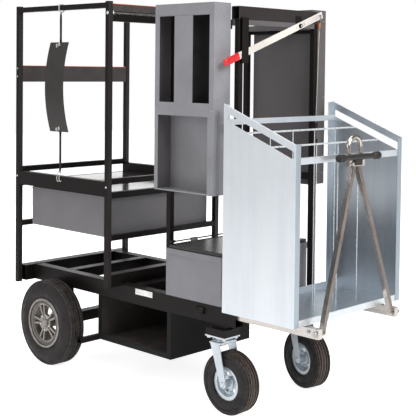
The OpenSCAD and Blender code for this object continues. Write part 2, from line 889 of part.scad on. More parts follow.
module frame_fittings() {
  // pivot pins of the tow handle and of the brake bar
  color("#b9b9ba") both_sides() {
    rod_y(tow_x, tow_z, -arm_y1, -225, 5);
    rod_y(tow_x, tow_z, -arm_y1 - 6, -arm_y1, 10);
  }
  color("#2b2625") both_sides() {
    rod_y(brake_piv_x, brake_piv_z, -rail_in, -210, 6);
    box(brake_piv_x - 14, brake_piv_x + 14, -rail_in - 6, -rail_in, brake_piv_z - 16, rail_z);
  }
  // pads under the flag box
  color("#1d1b1b") both_sides() for (x = [rail_front + 20, flag_end - 60])
    box(x, x + 40, -arm_y1, -arm_y0, rail_top - 3, flag_z);
  // hook and blank plate on the near rail
  color("#1d1b1b") box(xr + 1206, xr + 1246, -rail_y - 8, -rail_y, 398, 424);
  color("#f2f0ee") box(xr + 814, xr + 925, -rail_y - 0.6, -rail_y, 412, 436);
  // cable guides on the far front post
  color("#1d1b1b") for (g = [[1116, casing_r], [guide_z, 4.2]]) difference() {
    box(front_x + post, lever_x + 6, guide_y - 9, guide_y + 9, g[0] - 12, g[0] + 12);
    translate([lever_x, guide_y, g[0] - 20]) cylinder(h = 40, r = g[1]);
  }
}

side_rails();
rear_outrigger();
saddle_beam();
deck_cross_members();
tall_posts();
post_caps();
top_side_rails();
header_rail();
header_rod();
clamp_boards();
board_edge_strips();
shelf_fascias();
bay_cross_rails();
shelf_panel();
bin_slides();
storage_bin();
flex_plate();
bungee_cord();
front_bay_posts();
bay_top_rails();
front_beam();
locker_hangers();
near_locker();
far_locker();
locker_liners();
deck_box();
deck_lid();
lid_mat();
lid_hinge();
under_box();
axle_beam();
axle_hangers();
stub_axles();
rear_rim_near();
rear_spider_near();
rear_tyre_near();
rear_rim_far();
rear_spider_far();
rear_tyre_far();
caster_mounts();
caster_fork_near();
caster_rim_near();
caster_tyre_near();
caster_fork_far();
caster_rim_far();
caster_tyre_far();
brake_lever();
lever_grip();
lever_bracket();
brake_cable();
cable_casing();
brake_bar();
brake_pads();
flag_panels();
flag_rails();
flag_dividers();
tow_arms();
tow_handle();
tow_grip();
frame_fittings();
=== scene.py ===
import json
import math
import bmesh
import bpy
from mathutils import Matrix, Vector


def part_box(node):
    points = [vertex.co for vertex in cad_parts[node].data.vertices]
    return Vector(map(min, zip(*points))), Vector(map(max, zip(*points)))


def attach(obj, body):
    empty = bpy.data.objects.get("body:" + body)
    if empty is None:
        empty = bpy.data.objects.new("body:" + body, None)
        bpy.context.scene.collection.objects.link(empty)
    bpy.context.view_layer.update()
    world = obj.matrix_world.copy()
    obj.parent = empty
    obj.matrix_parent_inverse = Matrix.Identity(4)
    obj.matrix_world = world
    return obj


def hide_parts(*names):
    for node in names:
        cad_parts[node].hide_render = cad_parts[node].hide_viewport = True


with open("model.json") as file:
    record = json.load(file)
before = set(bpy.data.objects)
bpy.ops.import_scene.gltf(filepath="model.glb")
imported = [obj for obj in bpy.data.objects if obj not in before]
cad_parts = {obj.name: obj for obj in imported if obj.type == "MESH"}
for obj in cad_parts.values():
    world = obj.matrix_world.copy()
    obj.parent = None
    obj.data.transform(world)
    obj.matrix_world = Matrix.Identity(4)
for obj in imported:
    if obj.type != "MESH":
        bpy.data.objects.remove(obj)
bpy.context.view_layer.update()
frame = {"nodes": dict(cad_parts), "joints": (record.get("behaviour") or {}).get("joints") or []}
nodes = frame["nodes"]
pi = math.pi
range_sockets = ("From Min", "From Max", "To Min", "To Max")


# Shader helpers ---------------------------------------------------------------------

class Graph:
    """A node tree being wired up, with short calls for the nodes used here."""

    def __init__(self, name):
        self.material = bpy.data.materials.new(name)
        self.material.use_nodes = True
        self.tree = self.material.node_tree
        self.shader = self.tree.nodes["Principled BSDF"]
        self.coord = self.node("ShaderNodeTexCoord").outputs["Object"]

    def node(self, kind, **settings):
        made = self.tree.nodes.new(kind)
        for key, value in settings.items():
            setattr(made, key, value)
        return made

    def link(self, value, socket):
        if isinstance(value, bpy.types.NodeSocket):
            self.tree.links.new(value, socket)
        else:
            socket.default_value = value

    def mapped(self, vector, scale=(1, 1, 1), location=(0, 0, 0), turn=0.0):
        made = self.node("ShaderNodeMapping")
        self.link(vector, made.inputs["Vector"])
        made.inputs["Location"].default_value = location
        made.inputs["Rotation"].default_value = (0, 0, turn)
        made.inputs["Scale"].default_value = scale
        return made.outputs["Vector"]

    def centred(self, centre, turn=0.0):
        """Coordinates measured from a centre, split into X, Y and Z."""
        local = self.mapped(self.coord, (1, 1, 1), tuple(-c for c in centre))
        if turn:
            local = self.mapped(local, (1, 1, 1), (0, 0, 0), turn)
        return self.split(local)

    def noise(self, scale, detail=4.0, vector=None, rough=0.55, distortion=0.0):
        made = self.node("ShaderNodeTexNoise")
        self.link(vector or self.coord, made.inputs["Vector"])
        made.inputs["Scale"].default_value = scale
        made.inputs["Detail"].default_value = detail
        made.inputs["Roughness"].default_value = rough
        made.inputs["Distortion"].default_value = distortion
        return made.outputs["Fac"]

    def cells(self, scale, vector=None, feature="F1"):
        made = self.node("ShaderNodeTexVoronoi", feature=feature)
        self.link(vector or self.coord, made.inputs["Vector"])
        made.inputs["Scale"].default_value = scale
        return made

    def math(self, operation, a, b=0.0, c=None, clamp=False):
        made = self.node("ShaderNodeMath", operation=operation, use_clamp=clamp)
        self.link(a, made.inputs[0])
        self.link(b, made.inputs[1])
        if c is not None:
            self.link(c, made.inputs[2])
        return made.outputs[0]

    def ramp(self, value, low, high, out_low=0.0, out_high=1.0):
        made = self.node("ShaderNodeMapRange", clamp=True, interpolation_type="SMOOTHSTEP")
        self.link(value, made.inputs["Value"])
        for key, amount in zip(range_sockets, (low, high, out_low, out_high)):
            made.inputs[key].default_value = amount
        return made.outputs["Result"]

    def mix(self, factor, a, b):
        made = self.node("ShaderNodeMix", data_type="RGBA")
        self.link(factor, made.inputs[0])
        self.link(a, made.inputs[6])
        self.link(b, made.inputs[7])
        return made.outputs[2]

    def bump(self, height, strength, distance, normal=None):
        made = self.node("ShaderNodeBump")
        made.inputs["Strength"].default_value = strength
        made.inputs["Distance"].default_value = distance
        self.link(height, made.inputs["Height"])
        if normal is not None:
            self.link(normal, made.inputs["Normal"])
        return made.outputs["Normal"]

    def split(self, vector):
        made = self.node("ShaderNodeSeparateXYZ")
        self.link(vector, made.inputs[0])
        return made.outputs

    def reach(self, x, z):
        """Distance from a wheel's axis, which lies along Y."""
        squares = self.math("ADD", self.math("MULTIPLY", x, x), self.math("MULTIPLY", z, z))
        return self.math("SQRT", squares)

    def edges(self, radius):
        """1 along sharp edges, 0 on flat faces."""
        rounded = self.node("ShaderNodeBevel", samples=4)
        rounded.inputs["Radius"].default_value = radius
        plain = self.node("ShaderNodeNewGeometry").outputs["Normal"]
        dot = self.node("ShaderNodeVectorMath", operation="DOT_PRODUCT")
        self.link(rounded.outputs[0], dot.inputs[0])
        self.link(plain, dot.inputs[1])
        return self.ramp(dot.outputs["Value"], 0.985, 0.80)

    def upward(self):
        """1 on faces that look up."""
        normal = self.node("ShaderNodeNewGeometry").outputs["Normal"]
        return self.ramp(self.split(normal)[2], 0.75, 0.98)

    def finish(self, color, roughness, normal=None, metallic=0.0, specular=0.5, coat=0.0):
        self.link(color, self.shader.inputs["Base Color"])
        self.link(roughness, self.shader.inputs["Roughness"])
        self.shader.inputs["Metallic"].default_value = metallic
        self.shader.inputs["Specular IOR Level"].default_value = specular
        self.shader.inputs["Coat Weight"].default_value = coat
        self.shader.inputs["Coat Roughness"].default_value = 0.1
        if normal is not None:
            self.link(normal, self.shader.inputs["Normal"])
        return self.material


def rgb(code, gain=1.0):
    """Linear colour from a #rrggbb code."""
    parts = [int(code[i:i + 2], 16) / 255 for i in (1, 3, 5)]
    line = [p / 12.92 if p <= 0.04045 else ((p + 0.055) / 1.055) ** 2.4 for p in parts]
    return (line[0] * gain, line[1] * gain, line[2] * gain, 1.0)


def shade(color, gain):
    """A colour made darker or lighter."""
    return (color[0] * gain, color[1] * gain, color[2] * gain, 1.0)


def paint(name, color, rough, worn, peel=0.10, wear=0.5, dust=0.12, coat=0.0, specular=0.4):
    """Sprayed or powder-coated metal: mottled, dusty on top, rubbed along its edges, finely scratched."""
    g = Graph(name)
    cloud = g.noise(5.5, 5)
    fine = g.noise(90, 4)
    tone = g.mix(g.ramp(cloud, 0.3, 0.7), shade(color, 0.90), shade(color, 1.08))
    tone = g.mix(g.ramp(fine, 0.35, 0.75, 0, 0.22), tone, shade(color, 1.25))
    scratch = g.noise(1.0, 3, g.mapped(g.coord, (26, 260, 320)), 0.6, 0.4)
    lines = g.ramp(scratch, 0.70, 0.76)
    lines = g.math("MULTIPLY", lines, g.ramp(g.noise(7, 2), 0.52, 0.68))
    tone = g.mix(g.math("MULTIPLY", lines, 0.35), tone, worn)
    settled = g.math("MULTIPLY", g.upward(), g.ramp(g.noise(13, 5), 0.35, 0.7))
    tone = g.mix(g.math("MULTIPLY", settled, dust), tone, rgb("#b9b2aa"))
    rubbed = g.math("MULTIPLY", g.edges(0.0016), g.ramp(g.noise(38, 5), 0.50, 0.66))
    rubbed = g.math("MULTIPLY", rubbed, wear)
    tone = g.mix(rubbed, tone, worn)
    glossy = g.ramp(cloud, 0.3, 0.7, rough * 0.85, rough * 1.2)
    glossy = g.math("ADD", glossy, g.ramp(fine, 0.3, 0.8, 0, rough * 0.25), clamp=True)
    normal = g.bump(g.noise(330, 3), peel, 0.0004)
    normal = g.bump(lines, 0.15, 0.0003, normal)
    return g.finish(tone, glossy, normal, coat=coat, specular=specular)


def galvanised(name, color, dark, rough, metallic, streaks=0.45, swell=0.20, painted_reflection=0.0):
    """Zinc-coated sheet: cloudy streaks down it, faint crystal tint, gentle swells, an optional painted dark
    reflection band.
    """
    g = Graph(name)
    spangle = g.cells(60, g.mapped(g.coord, (1, 1, 0.6)), "SMOOTH_F1")
    crystal = g.ramp(spangle.outputs["Distance"], 0.1, 0.8)
    streak = g.noise(1.0, 5, g.mapped(g.coord, (20, 20, 1.1)), 0.6, 0.2)
    fine = g.noise(1.0, 4, g.mapped(g.coord, (170, 170, 4)), 0.6)
    cloud = g.noise(3.2, 4)
    tone = g.mix(g.ramp(streak, 0.34, 0.72, 0.0, streaks), color, dark)
    tone = g.mix(g.ramp(cloud, 0.4, 0.75, 0.0, 0.25), tone, shade(dark, 0.95))
    # Painted reflection: a darker band across the middle height, standing in for dark surroundings mirrored
    # in the sheet.
    if painted_reflection:
        height = g.math("ADD", g.split(g.coord)[2], g.math("MULTIPLY", g.noise(2.0, 2), 0.16))
        band = g.math("MULTIPLY", g.ramp(height, 1.04, 0.80), g.ramp(height, 0.52, 0.70))
        tone = g.mix(g.math("MULTIPLY", band, painted_reflection), tone, rgb("#6f7a83"))
    tone = g.mix(g.math("MULTIPLY", crystal, 0.10), tone, shade(color, 1.06))
    tone = g.mix(g.ramp(fine, 0.5, 0.8, 0.0, 0.18), tone, shade(color, 1.08))
    gloss = g.ramp(crystal, 0.0, 1.0, rough * 0.95, rough * 1.05)
    gloss = g.math("ADD", gloss, g.ramp(streak, 0.3, 0.8, 0.0, 0.07))
    return g.finish(tone, gloss, g.bump(g.noise(1.5, 1), swell, 0.003), metallic=metallic)


def bare_metal(name, color, rough, grain=(300, 12, 12), tint=None, metallic=1.0, soil=0.3):
    """Plated or bare steel with drawn lines, stains and grime."""
    g = Graph(name)
    drawn = g.noise(1.0, 4, g.mapped(g.coord, grain), 0.6)
    stain = g.noise(22, 6)
    tone = g.mix(g.ramp(drawn, 0.3, 0.7), shade(color, 0.86), shade(color, 1.1))
    tone = g.mix(g.ramp(stain, 0.50, 0.80, 0.0, 0.5), tone, tint or shade(color, 0.6))
    grime = g.math("MULTIPLY", g.ramp(g.noise(55, 5), 0.55, 0.72), soil)
    tone = g.mix(grime, tone, shade(color, 0.42))
    glossy = g.ramp(drawn, 0.3, 0.7, rough * 0.8, rough * 1.25)
    glossy = g.math("ADD", glossy, g.math("MULTIPLY", grime, 0.4))
    return g.finish(tone, glossy, g.bump(g.noise(40, 2), 0.04, 0.0005), metallic=metallic)


def plastic(name, color, rough, grain=420, bump=0.12, coat=0.0, dust=0.15):
    """Moulded plastic or rubber: clouded, scuffed and dusty on top."""
    g = Graph(name)
    cloud = g.noise(16, 5)
    tone = g.mix(g.ramp(cloud, 0.3, 0.7), shade(color, 0.85), shade(color, 1.15))
    marks = g.math("MULTIPLY", g.ramp(g.noise(1.0, 4, g.mapped(g.coord, (180, 40, 150))), 0.60, 0.72), 0.22)
    tone = g.mix(marks, tone, shade(color, 2.0))
    settled = g.math("MULTIPLY", g.upward(), g.ramp(g.noise(24, 5), 0.35, 0.75))
    tone = g.mix(g.math("MULTIPLY", settled, dust), tone, rgb("#a9a29b"))
    glossy = g.ramp(cloud, 0.3, 0.75, rough * 0.85, rough * 1.2)
    normal = g.bump(g.noise(grain, 3), bump, 0.0004)
    return g.finish(tone, glossy, normal, coat=coat)


def tyre(name, centre, turn, radius, half, blocks, grooves):
    """Rubber with moulded sidewall rings, grooves round the tread and lugs cut into its shoulders, with
    painted shade in the cuts.
    """
    g = Graph(name)
    x, y, z = g.centred(centre, turn)
    out = g.reach(x, z)
    angle = g.math("ARCTAN2", z, x)
    side = g.math("ABSOLUTE", y)
    skew = g.math("ADD", g.math("MULTIPLY", angle, blocks), g.math("MULTIPLY", side, 190))
    cut = g.ramp(g.math("SINE", skew), 0.80, 0.93)
    shoulder = g.ramp(side, half * 0.52, half * 0.60)
    shoulder = g.math("MULTIPLY", shoulder, g.ramp(out, radius - 0.020, radius - 0.014))
    lug = g.math("MULTIPLY", cut, shoulder)
    sipe = g.math("SINE", g.math("MULTIPLY", angle, blocks * 2.0))
    middle = g.math("MULTIPLY", g.ramp(sipe, 0.93, 0.99), g.ramp(out, radius - 0.004, radius - 0.002))
    wrap = g.math("COSINE", g.math("MULTIPLY", side, 2 * pi / (half * 0.30)))
    tread = g.ramp(out, radius - 0.010, radius - 0.004)
    crown = g.math("MULTIPLY", tread, g.ramp(side, half * 0.86, half * 0.80))
    groove = g.math("MULTIPLY", g.ramp(wrap, 0.55, 0.85), crown)
    lip = g.math("MULTIPLY", g.ramp(wrap, -0.35, 0.10), g.ramp(wrap, 0.62, 0.50))
    lip = g.math("MULTIPLY", lip, crown)
    rings = g.math("SINE", g.math("MULTIPLY", out, 1700.0))
    rings = g.math("MULTIPLY", rings, g.ramp(out, radius - 0.018, radius - 0.022))
    rings = g.math("MULTIPLY", rings, g.ramp(out, radius - 0.048, radius - 0.040))
    base = rgb("#272323")
    tone = g.mix(g.ramp(g.noise(14, 5), 0.3, 0.72), rgb("#1f1c1c"), rgb("#2c2828"))
    dusty = g.math("MULTIPLY", tread, g.ramp(g.noise(46, 5), 0.35, 0.7))
    tone = g.mix(g.math("MULTIPLY", dusty, 0.30), tone, rgb("#6d6661"))
    # Painted shade: lugs, sipes and grooves are darkened.
    tone = g.mix(g.math("MULTIPLY", lug, 0.8), tone, shade(base, 0.25))
    tone = g.mix(g.math("MULTIPLY", middle, 0.7), tone, shade(base, 0.3))
    tone = g.mix(g.math("MULTIPLY", groove, 0.8), tone, shade(base, 0.3))
    tone = g.mix(g.math("MULTIPLY", lip, grooves), tone, rgb("#a08b7a"))
    rough = g.ramp(g.noise(30, 4), 0.3, 0.7, 0.42, 0.62)
    rough = g.math("ADD", rough, g.math("MULTIPLY", tread, 0.15))
    cuts = g.math("ADD", g.math("ADD", lug, middle), groove)
    height = g.math("SUBTRACT", g.math("MULTIPLY", rings, 0.16), cuts)
    normal = g.bump(height, 0.55, 0.0022)
    normal = g.bump(g.noise(500, 3), 0.15, 0.0004, normal)
    return g.finish(tone, rough, normal, specular=0.30)


def alloy(name, centre):
    """Painted wheel: brighter on its rolled lip, with painted shade in the hollow inside the lip."""
    g = Graph(name)
    local = g.centred(centre)
    out = g.reach(local[0], local[2])
    # Painted shade: a dark ring in the hollow inside the lip.
    hollow = g.math("MULTIPLY", g.ramp(out, 0.0950, 0.0965), g.ramp(out, 0.1085, 0.1070))
    tone = g.mix(g.ramp(g.noise(30, 4), 0.3, 0.7), rgb("#8f8883"), rgb("#a49d98"))
    tone = g.mix(g.math("MULTIPLY", g.ramp(g.noise(60, 5), 0.50, 0.72), 0.35), tone, rgb("#6d655f"))
    tone = g.mix(g.math("MULTIPLY", hollow, 0.85), tone, rgb("#2b2624"))
    rough = g.ramp(g.noise(40, 4), 0.3, 0.7, 0.22, 0.34)
    return g.finish(tone, rough, g.bump(g.noise(60, 2), 0.05, 0.0005), metallic=0.55, coat=0.3)


black = paint("frame_black", rgb("#171312"), 0.34, rgb("#5b5450"), wear=0.25, dust=0.04, specular=0.18)
# Lighter black of the front beam; also painted light on the tall posts' front faces.
beam_black_and_painted_light = paint("beam_black_and_painted_light", rgb("#2f2a2a"), 0.34, rgb("#6a625e"), wear=0.25, dust=0.04, specular=0.30)
black_sheet = paint("black_sheet", rgb("#141211"), 0.40, rgb("#4a4541"), wear=0.25, dust=0.05,
                    specular=0.18)
fitting = paint("fitting_black", rgb("#1c1918"), 0.42, rgb("#77716c"), wear=0.4, specular=0.3)
shelf_gloss = paint("shelf_gloss", rgb("#343031"), 0.16, rgb("#8a8583"), peel=0.0, wear=0.2,
                    dust=0.03, coat=0.7)
# Gray of the bay top rails; also painted shade on the lockers' back faces and front-facing ends.
bay_gray = paint("bay_gray", rgb("#5f5b5d"), 0.36, rgb("#908b8a"), wear=0.3)
locker_gray = paint("locker_gray", rgb("#8b8b8f"), 0.34, rgb("#c8c8ca"), wear=0.35, dust=0.10)
# Painted shade: a darker copy of the bin gray for the bin's front end.
bin_shade = paint("bin_gray_painted_shade", rgb("#5c5a5d"), 0.36, rgb("#9b9b9e"), wear=0.3)
bin_gray = paint("bin_gray", rgb("#716f72"), 0.34, rgb("#b9b9bc"), wear=0.35, dust=0.10)
deck_gray = paint("deck_gray", rgb("#86858a"), 0.34, rgb("#c2c2c4"), wear=0.35, dust=0.10)
cream = paint("lever_cream", rgb("#dcd5ce"), 0.36, rgb("#8f8b86"), wear=0.25, dust=0.0)
lining = plastic("dark_lining", rgb("#121111"), 0.6)
cap_plastic = plastic("cap_plastic", rgb("#201d1d"), 0.45)
board = plastic("board_dark", rgb("#474140"), 0.40, 260, 0.2)
orange = plastic("edge_orange", rgb("#e2552f"), 0.42, 240, 0.2, dust=0.05)
sleeve_orange = plastic("sleeve_orange", rgb("#c8733f"), 0.42, 240, 0.1, dust=0.05)
red = plastic("grip_red", rgb("#d81f26"), 0.30, 300, 0.08, coat=0.4, dust=0.0)
grip_rubber = plastic("grip_rubber", rgb("#282424"), 0.52, 520, 0.3)
plate = plastic("plate_black", rgb("#2c2827"), 0.40, 300, 0.16)
casing = plastic("casing_black", rgb("#1c1a1a"), 0.42)
sleeve = plastic("cable_sleeve", rgb("#b9b0a8"), 0.35, 300, 0.05, coat=0.3)
label = plastic("blank_label", rgb("#f1efed"), 0.40, 200, 0.05, dust=0.05)
zinc_sheet = galvanised("zinc_sheet", rgb("#eaeff4"), rgb("#d2dbe3"), 0.30, 0.80)
# Painted shade: a darker copy of the zinc sheet for the flag box's inner faces, with a painted dark
# reflection band.
zinc_inside_painted_shade = galvanised("zinc_inside_painted_shade", rgb("#dbe3ea"), rgb("#b4c0ca"), 0.30, 0.85, 0.30, 0.12, 0.60)
# Painted shade: a darker copy of the zinc sheet for the flag box's front faces and the tops of its low rails.
zinc_front_painted_shade = galvanised("zinc_front_painted_shade", rgb("#b4bec7"), rgb("#93a0ab"), 0.34, 0.70, 0.35, 0.05)
zinc = galvanised("zinc_bright", rgb("#dde4e9"), rgb("#b3bfc8"), 0.28, 0.70, 0.35, 0.0)
wire_zinc = bare_metal("wire_zinc", rgb("#eef1f4"), 0.3, (40, 40, 400), rgb("#d9dee2"), 0.5, 0.08)
pin = bare_metal("pin_steel", rgb("#b9b9ba"), 0.24)
wire = bare_metal("wire_steel", rgb("#b8b6b3"), 0.28, (40, 40, 600))
nickel = bare_metal("handle_nickel", rgb("#cfc7c0"), 0.14, (300, 300, 9), rgb("#7a6f67"))
# Painted shade: a darker copy of the handle nickel for the tow legs' front faces.
nickel_painted_shade = bare_metal("handle_nickel_painted_shade", rgb("#958a82"), 0.14, (300, 300, 9), rgb("#574d46"))
arm_cream = bare_metal("arm_cream", rgb("#d9d3cd"), 0.28, (12, 260, 260), rgb("#bab0a8"), 0.8, 0.15)


def mat_rubber():
    """Ribbed rubber mat."""
    g = Graph("mat_rubber")
    rib = g.math("SINE", g.math("MULTIPLY", g.split(g.coord)[1], 2 * pi / 0.0075))
    tone = g.mix(g.ramp(g.noise(10, 5), 0.3, 0.7), rgb("#211e1f"), rgb("#272425"))
    tone = g.mix(g.math("MULTIPLY", g.ramp(g.noise(30, 6), 0.5, 0.75), 0.05), tone, rgb("#5a5454"))
    rough = g.ramp(g.noise(5, 3), 0.3, 0.7, 0.235, 0.255)
    normal = g.bump(rib, 0.06, 0.0003)
    return g.finish(tone, rough, normal, specular=0.60)


mat = mat_rubber()


def braid(name, color, fleck):
    """Woven sleeve of an elastic cord that runs up and down."""
    g = Graph(name)
    x, y, z = g.split(g.coord)
    turn = g.math("ADD", g.math("MULTIPLY", x, 900.0), g.math("MULTIPLY", y, 900.0))
    a = g.math("SINE", g.math("ADD", g.math("MULTIPLY", z, 1500.0), turn))
    b = g.math("SINE", g.math("SUBTRACT", g.math("MULTIPLY", z, 1500.0), turn))
    weave = g.math("MAXIMUM", a, b)
    tone = g.mix(g.ramp(weave, 0.2, 0.95), shade(color, 0.55), color)
    tone = g.mix(g.ramp(g.math("MULTIPLY", a, b), 0.75, 0.95, 0.0, 0.6), tone, fleck)
    normal = g.bump(weave, 0.5, 0.0005)
    return g.finish(tone, g.ramp(weave, 0, 1, 0.75, 0.6), normal, specular=0.3)


cord_black = braid("cord_black", rgb("#2a2625"), rgb("#6a6462"))
cord_white = braid("cord_white", rgb("#e4e1dc"), rgb("#a8a49e"))


# Mesh helpers ---------------------------------------------------------------------------

def make(name, bm, material, body, smooth=40):
    """Object from a bmesh, riding on a body."""
    mesh = bpy.data.meshes.new(name)
    bm.normal_update()
    bm.to_mesh(mesh)
    bm.free()
    mesh.materials.append(material)
    for face in mesh.polygons:
        face.use_smooth = True
    mesh.set_sharp_from_angle(angle=math.radians(smooth))
    made = bpy.data.objects.new(name, mesh)
    bpy.context.scene.collection.objects.link(made)
    if body:
        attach(made, body)
    return made


def facing(origin, axis, roll=(0, 0, 1)):
    """Matrix that puts local +Z along axis at origin."""
    w = Vector(axis).normalized()
    ref = Vector(roll)
    if abs(w.dot(ref)) > 0.95:
        ref = Vector((1, 0, 0))
    u = ref.cross(w).normalized()
    v = w.cross(u)
    m = Matrix((u, v, w)).transposed().to_4x4()
    m.translation = Vector(origin)
    return m


def circle(bm, matrix, radius, height, steps):
    """Ring of new points round local Z."""
    ring = []
    for k in range(steps):
        a = 2 * pi * k / steps
        ring.append(bm.verts.new(matrix @ Vector((radius * math.cos(a), radius * math.sin(a), height))))
    return ring


def bridge(bm, a, b):
    """Band of faces between two rings with as many points."""
    for k in range(len(a)):
        n = (k + 1) % len(a)
        bm.faces.new([a[k], a[n], b[n], b[k]])


def lathe(bm, profile, matrix, steps=48):
    """Turns (radius, height) pairs about local Z; a radius of 0 closes the surface there."""
    rings = []
    for r, h in profile:
        if r <= 1e-9:
            rings.append([bm.verts.new(matrix @ Vector((0, 0, h)))])
        else:
            rings.append(circle(bm, matrix, r, h, steps))
    for lower, upper in zip(rings, rings[1:]):
        for k in range(steps):
            n = (k + 1) % steps
            loop = [lower[k % len(lower)], lower[n % len(lower)]]
            loop += [upper[n % len(upper)], upper[k % len(upper)]]
            kept = []
            for v in loop:
                if v not in kept:
                    kept.append(v)
            if len(kept) > 2:
                bm.faces.new(kept)


def bolt_head(bm, origin, axis, across=0.013, height=0.006, washer=True, spin=0.0):
    """Hex head with a chamfered crown on a round washer."""
    m = facing(origin, axis) @ Matrix.Rotation(spin, 4, "Z")
    r = across / math.sqrt(3)
    base = 0.0
    if washer:
        base = 0.0014
        lathe(bm, [(0, 0), (r * 1.42, 0), (r * 1.42, base * 0.7), (r * 1.36, base), (0, base)], m, 24)
    foot = circle(bm, m, r, base, 6)
    shoulder = circle(bm, m, r, base + height * 0.8, 6)
    crown = circle(bm, m, r * 0.8, base + height, 6)
    bridge(bm, foot, shoulder)
    bridge(bm, shoulder, crown)
    bm.faces.new(crown)


def dome_head(bm, origin, axis, radius=0.004, height=0.0022):
    """Pan head or rivet with a shallow drive recess."""
    m = facing(origin, axis)
    outline = ((1, 0), (0.96, 0.5), (0.7, 0.9), (0.34, 1), (0.30, 0.7), (0, 0.7))
    lathe(bm, [(radius * r, height * h) for r, h in outline], m, 20)


def bead(bm, points, radius=0.0022, ripple=0.0032):
    """Weld bead: a low rippled tube along points."""
    path = []
    for a, b in zip(points, points[1:]):
        a, b = Vector(a), Vector(b)
        count = max(2, int((b - a).length / ripple))
        for k in range(count):
            path.append(a.lerp(b, k / count))
    path.append(Vector(points[-1]))
    last = None
    for i, p in enumerate(path):
        ahead = (path[min(i + 1, len(path) - 1)] - path[max(i - 1, 0)]).normalized()
        swell = radius * (1.0 if i % 2 else 0.78)
        if i in (0, len(path) - 1):
            swell = radius * 0.5
        ring = circle(bm, facing(p, ahead), swell, 0, 6)
        if last:
            bridge(bm, last, ring)
        last = ring


def pipe(bm, points, radius, sides=12, closed=False):
    """Round tube along a list of points."""
    points = [Vector(p) for p in points]
    count = len(points)
    rings = []
    up = None
    for i, p in enumerate(points):
        if closed:
            ahead = (points[(i + 1) % count] - points[i - 1]).normalized()
        else:
            ahead = (points[min(i + 1, count - 1)] - points[max(i - 1, 0)]).normalized()
        if up is None:
            up = Vector((0, 0, 1)) if abs(ahead.z) < 0.9 else Vector((1, 0, 0))
        side = ahead.cross(up).normalized()
        up = side.cross(ahead).normalized()
        turns = [2 * pi * k / sides for k in range(sides)]
        rings.append([bm.verts.new(p + radius * (math.cos(t) * side + math.sin(t) * up)) for t in turns])
    spans = list(zip(rings, rings[1:]))
    if closed:
        spans.append((rings[-1], rings[0]))
    for a, b in spans:
        bridge(bm, a, b)
    if not closed:
        bm.faces.new(list(reversed(rings[0])))
        bm.faces.new(rings[-1])


def curved(points, steps=8):
    """Catmull-Rom points through the given ones."""
    pts = [Vector(p) for p in points]
    pts = [pts[0] * 2 - pts[1]] + pts + [pts[-1] * 2 - pts[-2]]
    out = []
    for a, b, c, d in zip(pts, pts[1:], pts[2:], pts[3:]):
        for k in range(steps):
            t = k / steps
            bend = (2 * a - 5 * b + 4 * c - d) * t * t + (3 * b - a - 3 * c + d) * t ** 3
            out.append(0.5 * (2 * b + (c - a) * t + bend))
    out.append(pts[-2])
    return out


def low_of(name):
    """Lower corner of a node's box."""
    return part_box(name)[0]


def high_of(name):
    """Upper corner of a node's box."""
    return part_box(name)[1]


def mid(name):
    """Middle of a node's box."""
    return (low_of(name) + high_of(name)) / 2


# Finish of the CAD nodes -----------------------------------------------------------------

finishes = {
    black: ["side_rails", "rear_outrigger", "saddle_beam", "deck_cross_members", "tall_posts",
            "top_side_rails", "header_rail", "shelf_fascias", "bay_cross_rails", "bin_slides",
            "front_bay_posts", "locker_hangers", "axle_beam", "axle_hangers", "lever_bracket", "brake_bar"],
    beam_black_and_painted_light: ["front_beam"],
    cap_plastic: ["post_caps"],
    board: ["clamp_boards"],
    orange: ["board_edge_strips"],
    shelf_gloss: ["shelf_panel"],
    bin_gray: ["storage_bin"],
    plate: ["flex_plate"],
    bay_gray: ["bay_top_rails"],
    locker_gray: ["near_locker", "far_locker"],
    lining: ["locker_liners"],
    deck_gray: ["deck_box", "deck_lid"],
    mat: ["lid_mat"],
    black_sheet: ["under_box"],
    pin: ["header_rod", "stub_axles"],
    cream: ["brake_lever"],
    wire: ["brake_cable"],
    casing: ["cable_casing"],
    grip_rubber: ["brake_pads", "tow_grip"],
    zinc_sheet: ["flag_panels", "flag_rails"],
    wire_zinc: ["flag_dividers"],
    nickel: ["tow_handle"],
    arm_cream: ["tow_arms"],
    fitting: ["frame_fittings", "lid_hinge"],
    red: ["lever_grip"],
    cord_black: ["bungee_cord"],
    zinc: ["caster_mounts", "caster_fork_near", "caster_fork_far", "caster_rim_near", "caster_rim_far"],
}
rear_tyre_r, rear_tyre_half = 0.203, 0.054
caster_r, caster_half = 0.130, 0.041
rims = {}
for side in ("near", "far"):
    centre = mid("rear_tyre_" + side)
    rims[side] = alloy("rim_silver_" + side, centre)
    finishes[rims[side]] = ["rear_rim_" + side, "rear_spider_" + side]
    rubber = tyre("rear_tyre_rubber_" + side, centre, 0.0, rear_tyre_r, rear_tyre_half, 46, 0.12)
    finishes[rubber] = ["rear_tyre_" + side]
joints = {j["name"]: j for j in frame["joints"]}
for side in ("near", "far"):
    joint = joints["caster_" + side + "_spin"]
    turn = math.atan2(joint["axis"][0], joint["axis"][1])
    rubber = tyre("caster_tyre_rubber_" + side, joint["pos_m"], turn, caster_r, caster_half, 34, 0.75)
    finishes[rubber] = ["caster_tyre_" + side]

